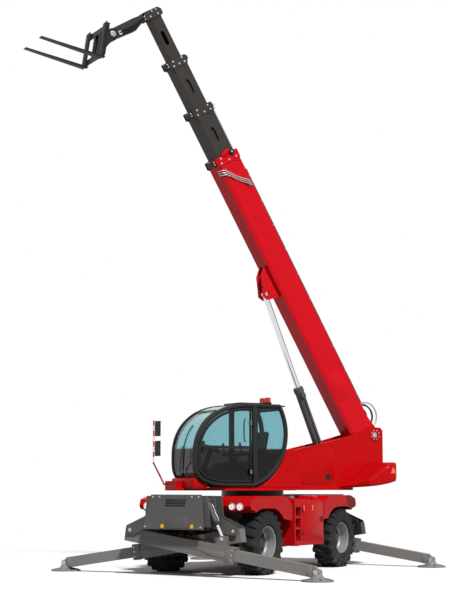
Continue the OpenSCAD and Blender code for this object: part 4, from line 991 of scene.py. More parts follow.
@dataclass
class Wheel(Assembly):
    """A tyre with slanted lugs and its rim, one for each corner.

    Attributes:
        radius: Outer radius of the tyre.
        width: Width of the tyre.
        lug_height: Height of the tread lugs.
        lugs: Lugs in one row.
        rim_radius: Radius of the rim's seat.
        nuts: Number of wheel nuts.
        cap_bolts: Number of bolts on the hub's cap.
    """

    radius: float = 0.570
    width: float = 0.440
    lug_height: float = 0.032
    lugs: int = 20
    rim_radius: float = 0.300
    nuts: int = 10
    cap_bolts: int = 6

    def build(self) -> None:
        """Models one wheel and copies it to the four corners."""
        tyre, rim, hub = self.model_tyre(), self.model_rim(), self.model_hub()
        for corner in CORNERS:
            self.body, self.place = f"wheel_{corner}", Rig.wheel(corner)
            for source, name, material, nodes in (
                (tyre, "tyre", self.palette.rubber, [f"tyre_{corner}"]),
                (rim, "rim", self.palette.rim, [f"rim_{corner}"]),
                # The hub finish paints the shade of the deep dish onto the disc.
                (hub, "hub", self.palette.hub, []),
            ):
                copy = Bench.twin(source, f"{name}_look_{corner}")
                self.keep(copy, material, smooth=40.0, replaces=nodes)
        for source in (tyre, rim, hub):
            bpy.data.objects.remove(source)

    def model_tyre(self) -> Thing:
        """Models the tyre: a spun carcass with two rows of slanted lugs."""
        half, seat = self.width / 2, self.rim_radius
        tread = self.radius - self.lug_height
        flank = [
            (seat, half - 0.040), (seat + 0.014, half - 0.016), (seat + 0.030, half - 0.006),
            (seat + 0.060, half - 0.002), (seat + 0.066, half), (seat + 0.074, half - 0.003),
            (seat + 0.130, half - 0.002), (seat + 0.150, half), (seat + 0.158, half - 0.005),
            (tread - 0.048, half - 0.012), (tread - 0.026, half - 0.026), (tread - 0.008, half - 0.052),
            (tread, half - 0.10),
        ]
        carcass = Bench.spun("carcass", [*flank, *[(r, -y) for r, y in reversed(flank)]], 96)
        pitch = math.tau / self.lugs
        places = []
        for step in range(self.lugs):
            places.append(Matrix.Rotation(step * pitch, 4, "Y"))
            places.append(Matrix.Rotation((step + 0.5) * pitch, 4, "Y") @ HALF_TURN)
        return Bench.join("tyre", [carcass, Bench.repeat("lugs", self.model_lug(half, tread), places)])

    def model_lug(self, half: float, tread: float) -> Thing:
        """Models one lug: a slanted plan outline pulled outwards, with a dropped shoulder.

        Args:
            half: Half of the tyre's width.
            tread: Radius of the carcass under the lugs.

        Returns:
            The lug, on top of the tyre.
        """
        outline = [
            (-0.052, 0.006), (0.006, 0.006), (0.030, 0.060), (0.058, 0.150), (0.062, half - 0.004),
            (-0.022, half - 0.004), (-0.022, 0.150), (-0.036, 0.070),
        ]
        top = math.sqrt(self.radius**2 - 0.066**2) - 0.0005
        lug = Bench.slab("lug", outline, tread - 0.055, top, Axis.Z)
        for vertex in lug.data.vertices:
            if vertex.co.z > top - 0.001:
                vertex.co.x *= 0.86
                vertex.co.y = min(vertex.co.y, half - 0.020)
        return Bench.soften(lug, 0.005)

    def model_rim(self) -> Thing:
        """Models the rim: a spun ring with a deep well and a rolled flange."""
        seat = self.rim_radius - 0.0003
        lip = self.width / 2 - 0.040
        profile = [
            (seat, lip - 0.002), (seat + 0.002, lip + 0.006), (seat - 0.008, lip + 0.011),
            (seat - 0.018, lip + 0.004), (seat - 0.024, lip - 0.020), (seat - 0.027, 0.040),
            (seat - 0.034, 0.014), (seat - 0.050, -0.004), (seat - 0.052, -0.050), (seat - 0.034, -0.062),
            (seat - 0.026, -0.090), (seat - 0.024, -lip + 0.020), (seat - 0.018, -lip - 0.004),
            (seat - 0.008, -lip - 0.011), (seat + 0.002, -lip - 0.006), (seat, -lip + 0.002),
        ]
        return Bench.spun("rim", profile, 96)

    def model_hub(self) -> Thing:
        """Models the wheel's disc with its hub, nuts and cap bolts."""
        profile = [
            (0.250, -0.048), (0.250, -0.012), (0.232, -0.008), (0.215, -0.016), (0.150, -0.018),
            (0.128, -0.010), (0.122, 0.030), (0.112, 0.044), (0.080, 0.052), (0.076, 0.062), (0.060, 0.068),
            (0.001, 0.070), (0.001, 0.050), (0.056, 0.045), (0.0565, -0.048),
        ]
        nuts = self.nut_ring(Bench.bolt(0.017, 0.030), self.nuts, 0.185, -0.018)
        caps = self.nut_ring(Bench.bolt(0.007, 0.010), self.cap_bolts, 0.098, 0.048)
        return Bench.join("hub", [Bench.spun("disc", profile, 72), nuts, caps])

    @staticmethod
    def nut_ring(bolt: Thing, count: int, radius: float, height: float) -> Thing:
        """Sets a bolt out on a circle around the wheel's axis, pointing outwards."""
        foot = Matrix.Translation((radius, height, 0.0)) @ Matrix.Rotation(-math.pi / 2, 4, "X")
        places = [Matrix.Rotation(step * math.tau / count, 4, "Y") @ foot for step in range(count)]
        return Bench.repeat("nut_ring", bolt, places)


@dataclass
class CadDress(Assembly):
    """Finishes and rounded edges for the CAD nodes that stay in sight.

    Attributes:
        edges: Radius of the rounded edges, by the start of a node's name.
    """

    edges: dict[str, float] = field(
        default_factory=lambda: {
            "fenders": 0.025, "turret_covers": 0.025, "tank_box": 0.012,
            "engine_cover": 0.012, "leg_": 0.006, "front_guard": 0.006,
        }
    )

    def finishes(self) -> dict[str, Material]:
        """Gives the finish of each kind of node by the start of its name."""
        p = self.palette
        return {
            # boom_1 takes the lighter copy of the body red, which is painted light.
            "boom_1": p.boom_red, "boom_": p.inner_boom, "turret_frame": p.red, "turret_covers": p.red,
            "counterweight": p.red, "fenders": p.red, "tank_box": p.red, "engine_cover": p.red,
            "cab_glass": p.glass, "door_glass": p.glass, "cab_": p.dark, "chassis_lamps": p.lens,
            "lamp_pods": p.plastic, "front_guard": p.guard, "chassis_frame": p.guard, "leg_outer": p.leg,
            "leg_inner": p.inner_leg, "jack_rod": p.chrome, "jack_barrel": p.guard, "lift_rod": p.chrome,
            "lift_barrel": p.guard,
            "extension_rod": p.chrome, "forks": p.fork, "carriage": p.fork, "engine": p.iron,
            "console": p.plastic, "mirrors": p.plastic, "beacons": p.beacon, "tyre": p.rubber, "rim": p.rim,
            "operator_seat": p.vinyl,
        }

    def build(self) -> None:
        """Gives every CAD node its finish."""
        rules = sorted(self.finishes().items(), key=lambda rule: -len(rule[0]))
        for name, node in frame["nodes"].items():
            material = next((made for start, made in rules if name.startswith(start)), self.palette.dark)
            node.data.materials.clear()
            node.data.materials.append(material)
            width = next((size for start, size in self.edges.items() if name.startswith(start)), 0.0)
            if width > 0:
                self.round_off(node, width)

    @staticmethod
    def round_off(node: Thing, width: float) -> None:
        """Rounds the edges of a CAD node by modifiers, which leave its mesh as it is."""
        weld = node.modifiers.new("weld", "WELD")
        weld.merge_threshold = 1e-5
        bevel = node.modifiers.new("round_off", "BEVEL")
        bevel.width = width
        bevel.segments = 3
        bevel.limit_method = "ANGLE"
        bevel.angle_limit = math.radians(24)
        bevel.use_clamp_overlap = True
        bevel.harden_normals = True


@dataclass
class Boom(Assembly):
    """Fittings of the boom: collars, guide blocks, pipes, clamps and the head.

    Attributes:
        width: Width of the outer section.
        height: Height of the outer section.
        drop: Depth of the sections' middle under the foot pin's line.
        step: How much narrower each next section is.
        first: Length of the outer section ahead of the foot pin.
        out: How far each inner section stands out.
        collar: Length of the collars.
        band: Thickness of the collars.
        tube: Height of the extension cylinder over the foot pin's line.
        nose_drop: Depth of the tilt pin under the foot pin's line.
    """

    width: float = 0.420
    height: float = 0.530
    drop: float = 0.200
    step: float = 0.080
    first: float = 6.450
    out: float = 1.050
    collar: float = 0.175
    band: float = 0.014
    tube: float = 0.1203
    nose_drop: float = 1.220

    def build(self) -> None:
        """Models the fittings of all four sections."""
        self.body, self.place = "boom_1", Rig.boom()
        for index in range(3):
            self.build_collar(index)
            self.build_rollers(index)
        self.build_foot()
        self.build_mouth()
        self.build_lines()
        self.build_clamps()
        self.build_head()

    def size(self, index: int) -> tuple[float, float]:
        """Gives width and height of a section."""
        return self.width - index * self.step, self.height - index * self.step

    def front(self, index: int) -> float:
        """Gives the place of a section's mouth along the boom."""
        return self.first + index * self.out

    def paint(self, index: int) -> Material:
        """Gives the finish of a section."""
        # The outer section takes the lighter copy of the body red, which is painted light.
        return self.palette.boom_red if index == 0 else self.palette.inner_boom

    def build_collar(self, index: int) -> None:
        """Models a collar's bolts, its curved cheeks and the guide block under it."""
        w, h = self.size(index)
        front, tag = self.front(index), index + 1
        body = f"boom_{tag}"
        side = w / 2 + self.band
        spots = ((0.040, 0.30), (0.045, -0.30), (0.135, 0.36), (0.130, 0.02), (0.135, -0.36))
        feet = [
            ((front - x, hand * side, -self.drop + z * h), (0, hand, 0)) for hand in HANDS for x, z in spots
        ]
        self.bolts(f"collar_bolts_{tag}", 0.015, 0.018, feet, body=body)
        arc = []
        for step in range(13):
            share = step / 6 - 1
            arc.append((front - self.collar - 0.085 * share**2, -self.drop + share * (h / 2 - 0.03)))
        edge = front - self.collar + 0.01
        outline = [(edge, arc[-1][1]), (edge, arc[0][1]), *arc]
        cheeks = Bench.sides("cheek", outline, w / 2, w / 2 + 0.007)
        self.fit(f"collar_cheeks_{tag}", cheeks, self.paint(index), body=body)
        under = -self.drop - h / 2 - self.band
        low, high = (front - 0.125, -0.38 * w, under - 0.05), (front - 0.02, 0.38 * w, under + 0.004)
        guide = [Bench.block("block", low, high, 0.008)]
        for y in (-0.3 * w, 0.3 * w):
            low, high = (front - 0.15, y - 0.01, under - 0.062), (front - 0.005, y + 0.01, under + 0.004)
            guide.append(Bench.block("rib", low, high, 0.004))
        self.fit(f"guide_block_{tag}", guide, self.palette.inner_boom, body=body)
        level = under - 0.026
        feet = [((front - 0.02, y * w, level), (1, 0, 0)) for y in (-0.2, 0.0, 0.2)]
        for hand in HANDS:
            feet += [((front - x, hand * 0.38 * w, level), (0, hand, 0)) for x in (0.05, 0.10)]
        self.bolts(f"guide_screws_{tag}", 0.012, 0.014, feet, body=body)

    def build_rollers(self, index: int) -> None:
        """Models the two hose rollers on top of a mouth."""
        front, tag = self.front(index), index + 1
        body = f"boom_{tag}"
        top = -self.drop + self.size(index)[1] / 2 + self.band
        outline = [
            (front - 0.15, top - 0.002), (front - 0.005, top - 0.002), (front - 0.02, top + 0.04),
            (front - 0.05, top + 0.058), (front - 0.10, top + 0.058),
        ]
        brackets = []
        for inner in (0.075, 0.115):
            brackets += Bench.sides("bracket", outline, inner, inner + 0.008, 0.002)
        self.fit(f"roller_brackets_{tag}", brackets, self.paint(index), body=body)
        rollers = Bench.heads((front - 0.065, top + 0.032), 0.083, 0.115, 0.022, 28, 0.004)
        self.fit(f"hose_rollers_{tag}", rollers, self.palette.plastic, body=body)

    def build_foot(self) -> None:
        """Models the doubler plates on the boom's foot, its pin's caps and the cover of its end."""
        outline = [(0.92, 0.02), (1.20, 0.20), (1.58, 0.06), (1.58, -0.17), (0.98, -0.17)]
        half = self.width / 2
        plates = Bench.sides("doubler", [(x, z - self.drop) for x, z in outline], half, half + 0.005, 0.002)
        self.fit("foot_doublers", plates, self.palette.boom_red)
        self.fit("foot_pin_caps", Bench.heads((0, 0), 0.2575, 0.2635, 0.055, 36, 0.003), self.palette.steel)
        outline = [(-0.18, -0.14), (0.18, -0.14), (0.18, 0.17), (-0.18, 0.17)]
        cover = Bench.slab("foot_cover", outline, -0.149, -0.135, Axis.X, 0.004)
        cover.location.z = -self.drop
        self.keep(cover, self.palette.plastic)

    def build_mouth(self) -> None:
        """Models the rounded tongues at the red mouth and the pulley beside it."""
        middle, half = -self.drop + 0.03, self.width / 2
        outline = [(self.first - 0.05, middle - 0.15), (self.first - 0.05, middle + 0.15)]
        for step in range(13):
            angle = math.radians(90 - 15 * step)
            outline.append((self.first - 0.02 + 0.10 * math.cos(angle), middle + 0.15 * math.sin(angle)))
        tongues = Bench.sides("tongue", outline, half + 0.001, half + self.band)
        self.fit("mouth_tongues", tongues, self.palette.boom_red)
        profile = [
            (0.012, 0.0), (0.058, 0.0), (0.058, 0.008), (0.046, 0.014), (0.058, 0.020), (0.058, 0.028),
            (0.012, 0.028),
        ]
        spot = self.place @ Matrix.Translation((self.first - 0.01, half + self.band, middle + 0.10))
        self.keep(Bench.spun("mouth_pulley", profile, 40), self.palette.plastic, place=spot)
        self.bolts("mouth_pulley_bolt", 0.016, 0.018, [((0, 0.026, 0), (0, 1, 0))], place=spot)

    def build_lines(self) -> None:
        """Models three steel lines across the left side, four along the top, and a rail with studs."""
        side, edge = self.width / 2 + 0.016, self.width / 2 - 0.028
        top, low = -self.drop + self.height / 2, -self.drop - self.height / 2
        lines = []
        for step in range(3):
            start, end = (self.first - back - 0.046 * step for back in (0.26, 0.72))
            route = [
                (start + 0.02, 0.10, low - 0.02), (start + 0.01, side - 0.05, low - 0.018),
                (start - 0.02, side, low + 0.06), ((start + end) / 2, side, (low + top) / 2),
                (end + 0.03, side, top - 0.03), (end, side - 0.05, top + 0.022),
                (end - 0.02, 0.09, top + 0.020),
            ]
            lines.append(Bench.pipe("line", route, 0.009))
        self.fit("cross_lines", lines, self.palette.steel)
        clips = []
        for x, z in ((self.first - 0.43, low + 0.075), (self.first - 0.79, top - 0.105)):
            clips.append(Bench.block("clip", (x, side - 0.018, z), (x + 0.17, side + 0.015, z + 0.03), 0.005))
        self.fit("cross_line_clips", clips, self.palette.inner_leg)
        level = top + 0.016
        runs = [
            Bench.bar("run", (0.62, y, level), (self.first - 0.30, y, level), 0.012, 16)
            for y in (-0.135, -0.105, 0.105, 0.135)
        ]
        self.fit("top_lines", runs, self.palette.hose)
        ends = (0.70, edge - 0.047, top - 0.030), (self.first - 0.45, edge, top + 0.042)
        self.keep(Bench.block("side_rail", *ends, 0.006), self.palette.inner_boom)
        studs = [((0.90 + 0.55 * step, edge, top + 0.022), (0, 1, 0)) for step in range(10)]
        self.bolts("rail_studs", 0.010, 0.012, studs)

    def build_clamps(self) -> None:
        """Models the clamps that hold the extension cylinder and the lines beside it, and its gland."""
        top = -self.drop + self.height / 2
        ring = Bench.spun("ring", [(0.0555, -0.02), (0.066, -0.02), (0.066, 0.02), (0.0555, 0.02)], 40)
        Bench.soften(ring, 0.003, 1)
        Bench.settle(ring, Matrix.Translation((0, 0, self.tube)) @ Matrix.Rotation(math.pi / 2, 4, "Z"))
        feet = [
            Bench.block("foot", (-0.02, y - 0.017, top), (0.02, y + 0.017, top + 0.034), 0.004)
            for y in (-0.135, -0.105, -0.073, 0.073, 0.105, 0.135)
        ]
        clamp = Bench.join("clamp", [ring, *feet])
        places = [Matrix.Translation((x, 0, 0)) for x in (0.95, 2.0, 3.05, 4.10, 5.15, 6.05)]
        self.keep(Bench.repeat("tube_clamps", clamp, places), self.palette.inner_boom)
        spot = Matrix.Translation((self.first - self.collar - 0.025, 0, self.tube)) @ ALONG_X
        gland = Bench.gland("tube_gland", 0.031, 0.062, 0.052, 0.05, 0.010, 40)
        self.keep(gland, self.palette.dark, place=self.place @ spot)

    def build_head(self) -> None:
        """Models bolts, hoses and fittings on the boom's head."""
        front, body = self.front(3), "boom_4"
        w, h = self.size(3)
        side, low, pin = w / 2 + 0.020, -self.drop - h / 2, -self.nose_drop
        spots = ((0.04, 0.30), (0.04, -0.05), (0.13, 0.32), (0.13, -0.30))
        feet = [
            ((front - x, hand * side, -self.drop + z * h), (0, hand, 0)) for hand in HANDS for x, z in spots
        ]
        self.bolts("head_bolts", 0.014, 0.016, feet, body=body)
        hoses, nuts = [], []
        for hand, lane in ((1, 0.0), (1, 0.05), (-1, 0.0), (-1, 0.05)):
            x, y = front - 0.11 - lane, hand * 0.094
            route = [
                (x + 0.03, y, low - 0.05), (x, y, low - 0.20), (x - 0.035, y, low - 0.42),
                (x - 0.03, y, pin + 0.16),
            ]
            hoses.append(Bench.pipe("hose", route, 0.013))
            nuts.append(
                Bench.bar("nut", (x + 0.034, y, low - 0.03), (x + 0.026, y, low - 0.085), 0.018, 6, 0.002)
            )
            nuts.append(
                Bench.bar("nut", (x - 0.031, y, pin + 0.20), (x - 0.030, y, pin + 0.13), 0.018, 6, 0.002)
            )
        self.fit("head_hoses", hoses, self.palette.hose, body=body)
        self.fit("head_fittings", nuts, self.palette.steel, body=body)


@dataclass
class ForkHead(Assembly):
    """Fittings of the fork carriage.

    Attributes:
        tilt: How far the tines point up, in degrees.
        ear: Half of the distance over the carriage's ears.
        spacing: Distance between the tines.
        ahead: Where the tines' shanks start.
        drop: Depth of the tines' underside.
        shank: Height of the shanks.
    """

    tilt: float = 8.5
    ear: float = 0.119
    spacing: float = 0.780
    ahead: float = 0.265
    drop: float = 0.660
    shank: float = 0.700

    def build(self) -> None:
        """Models pin heads, hooks and bolts."""
        self.body, self.place = "carriage", Rig.carriage(self.tilt)
        out = self.ear + 0.016
        self.fit("tilt_pin_heads", Bench.heads((0, 0), self.ear, out, 0.058, 36, 0.004), self.palette.steel)
        feet = [
            ((0.036 * math.cos(turn), hand * out, 0.036 * math.sin(turn)), (0, hand, 0))
            for hand in HANDS for turn in (0.5, 2.6, 4.7)
        ]
        self.bolts("tilt_pin_bolts", 0.010, 0.010, feet, self.palette.inner_leg, slot=Slot.DARK)
        hooks = []
        x, low, top = self.ahead, -self.drop, self.shank - self.drop
        for y in (-self.spacing / 2, self.spacing / 2):
            hooks += [
                Bench.block(
                    "hook", (x - 0.045, y - 0.055, top - 0.035), (x + 0.045, y + 0.055, top + 0.018), 0.008
                ),
                Bench.block(
                    "heel", (x - 0.050, y - 0.050, low + 0.030), (x + 0.004, y + 0.050, low + 0.056), 0.006
                ),
                Bench.bar("knob", (x + 0.01, y, top + 0.012), (x + 0.01, y, top + 0.055), 0.014, 20, 0.003),
            ]
        self.fit("fork_hooks", hooks, self.palette.fork)


@dataclass
class LiftCylinder(Assembly):
    """Fittings of the lift cylinder.

    Attributes:
        radius: Radius of its barrel.
        rod: Radius of its rod.
        length: Length of its barrel.
    """

    radius: float = 0.090
    rod: float = 0.056
    length: float = 1.950

    def build(self) -> None:
        """Models the gland, the port blocks, the side line and the pin's rings."""
        self.body, self.place = "lift_barrel", Rig.hinge("lift_turn", "lift_slide")
        outer, nose, side = self.radius + 0.012, self.radius - 0.01, self.radius + 0.018
        gland = Bench.gland("lift_gland", self.rod + 0.001, outer, nose, 0.10, 0.018, 56)
        mouth = self.place @ Matrix.Translation((self.length, 0, 0)) @ ALONG_X
        self.keep(gland, self.palette.guard, place=mouth)
        ports = [
            Bench.block("port", (x - 0.045, self.rod + 0.014, -0.05), (x + 0.045, side + 0.02, 0.05), 0.008)
            for x in (0.26, self.length - 0.16)
        ]
        self.fit("lift_ports", ports, self.palette.guard)
        y = side + 0.002
        line = Bench.bar("lift_line", (0.28, y, 0.0), (self.length - 0.18, y, 0.0), 0.012, 16)
        self.keep(line, self.palette.guard)
        self.fit("lift_pin_rings", Bench.heads((0, 0), 0.091, 0.100, 0.075, 32, 0.003), self.palette.dark)


@dataclass
class FootHoses(Assembly):
    """The hose loops on the boom's foot, over their CAD solids.

    Attributes:
        middle: Middle of the loops along the boom.
        top: Height of the boom's top over the foot pin's line.
        radius: Radius of the hoses.
        loops: Place across the boom and bend radius of each loop.
    """

    middle: float = 0.400
    top: float = 0.0653
    radius: float = 0.0155
    loops: tuple[tuple[float, float], ...] = (
        (-0.090, 0.190), (-0.015, 0.270), (0.060, 0.230), (0.130, 0.285)
    )

    def build(self) -> None:
        """Models each loop with its two end nuts."""
        self.body, self.place = "boom_1", Rig.boom()
        dark, bright, nuts = [], [], []
        for index, (y, bend) in enumerate(self.loops):
            points = [
                (self.middle + bend * math.cos(turn), y, self.top + bend * math.sin(turn))
                for turn in (math.pi * step / 16 for step in range(17))
            ]
            (bright if index % 2 else dark).append(Bench.pipe("loop", points, self.radius))
            for x in (self.middle - bend, self.middle + bend):
                nuts.append(
                    Bench.bar("nut", (x, y, self.top - 0.001), (x, y, self.top + 0.045), 0.024, 6, 0.003)
                )
        self.fit("foot_hoses", dark, self.palette.hose)
        self.fit("foot_hoses_sheathed", bright, self.palette.steel)
        self.fit("foot_hose_nuts", nuts, self.palette.steel)


@dataclass
class Turret(Assembly):
    """Fittings of the slewing frame and the counterweight.

    Attributes:
        left: Outer face of the left side plate.
        right: Outer face of the right side plate.
        pivot: Place of the boom's foot pin, along and up.
        plug: Place of the round plug on the left plate, along and up.
        cover: Outer face of the right cover.
        panel_t: Thickness of the raised panels on the plates.
        flank: A point on the counterweight's left rear flank.
        flank_along: Direction along that flank.
    """

    left: float = 0.145
    right: float = -0.375
    pivot: tuple[float, float] = (-2.800, 2.610)
    plug: tuple[float, float] = (-1.650, 1.770)
    cover: float = -0.995
    panel_t: float = 0.008
    flank: tuple[float, float, float] = (-2.710, 0.882, 1.870)
    flank_along: tuple[float, float, float] = (0.980, 0.200, 0.0)

    def build(self) -> None:
        """Models pin rings, panels, plug, reflector, the cover's louvres and the tail."""
        self.body, self.place = "turret", Rig.turret()
        self.build_plates()
        self.build_plug()
        self.build_reflector()
        self.build_louvres()
        self.build_tail()

    def build_plates(self) -> None:
        """Models the bolted rings around the foot pin's ends and the raised panels on both side plates."""
        x, z = self.pivot
        profile = [(0.064, -0.002), (0.122, -0.002), (0.122, 0.010), (0.112, 0.016), (0.064, 0.016)]
        outline = [(-0.49, 1.62), (-1.70, 1.62), (-1.80, 1.74), (-1.80, 2.32), (-1.62, 2.36), (-0.49, 2.06)]
        faces = ((self.left, 1), (self.right, -1))
        rings, feet, panels = [], [], []
        for face, hand in faces:
            spot = Matrix.Translation((x, face, z)) @ (Matrix.Identity(4) if hand > 0 else HALF_TURN)
            rings.append(Bench.settle(Bench.spun("ring", profile, 56), spot))
            for step in range(8):
                angle = math.tau * (step + 0.5) / 8
                spot = (x + 0.093 * math.cos(angle), face + hand * 0.016, z + 0.093 * math.sin(angle))
                feet.append((spot, (0, hand, 0)))
        self.fit("foot_pin_rings", rings, self.palette.red)
        self.bolts("foot_pin_bolts", 0.009, 0.010, feet)
        for face, hand in faces:
            low, high = sorted((face - hand * 0.002, face + hand * self.panel_t))
            panels.append(Bench.slab("panel", outline, low, high, Axis.Y, 0.004))
        self.fit("plate_panels", panels, self.palette.red)

    def build_plug(self) -> None:
        """Models the round plug on the left plate."""
        profile = [(0.001, -0.002), (0.058, -0.002), (0.058, 0.006), (0.046, 0.012), (0.001, 0.012)]
        spot = Matrix.Translation((self.plug[0], self.left + self.panel_t, self.plug[1]))
        self.keep(Bench.spun("side_plug", profile, 48), self.palette.plastic, place=self.place @ spot)

    def build_reflector(self) -> None:
        """Models the plain reflector triangle on the counterweight's flank."""
        spot = self.place @ Rig.at(self.flank, self.flank_along)
        # Both reflector finishes glow a little: a painted glow, as a reflector is no lamp.
        for name, side, out, material in (
            ("reflector_border", 0.105, 0.006, self.palette.lamp_red),
            ("reflector_field", 0.072, 0.009, self.palette.amber),
        ):
            turns = [math.radians(angle) for angle in (90, 210, 330)]
            outline = [(side * math.cos(turn), side * math.sin(turn)) for turn in turns]
            self.keep(Bench.slab(name, outline, -0.004, out, Axis.Y, 0.002), material, place=spot)

    def build_tail(self) -> None:
        """Models the counterweight as a casting with soft edges, from a copy of its solid."""
        tail = bpy.data.objects.new("tail_casting", frame["nodes"]["counterweight"].data.copy())
        bpy.context.scene.collection.objects.link(tail)
        Bench.modify(tail, "WELD", merge_threshold=1e-5)
        Bench.modify(tail, "REMESH", mode="VOXEL", voxel_size=0.022)
        Bench.modify(tail, "SMOOTH", factor=0.5, iterations=26)
        self.keep(tail, self.palette.red, place=Matrix.Identity(4), smooth=60.0, replaces=["counterweight"])

    def build_louvres(self) -> None:
        """Models the louvres and the latches of the right cover."""
        inner, outer = self.cover + 0.004, self.cover - 0.016
        parts = []
        for step in range(9):
            z = 1.625 + 0.032 * step
            outline = [(inner, z), (outer, z - 0.010), (outer, z - 0.004), (inner, z + 0.014)]
            parts.append(Bench.slab("slat", outline, -1.25, -0.35, Axis.X))
        for x in (-1.28, -0.35):
            parts.append(Bench.block("edge", (x, self.cover - 0.012, 1.60), (x + 0.03, inner, 1.92), 0.003))
        self.fit("cover_louvres", parts, self.palette.dark, slot=Slot.RED)
        latches = [
            Bench.block("latch", (x, self.cover - 0.014, 1.72), (x + 0.05, self.cover + 0.003, 1.83), 0.006)
            for x in (-0.22, 0.10)
        ]
        self.fit("cover_latches", latches, self.palette.plastic)


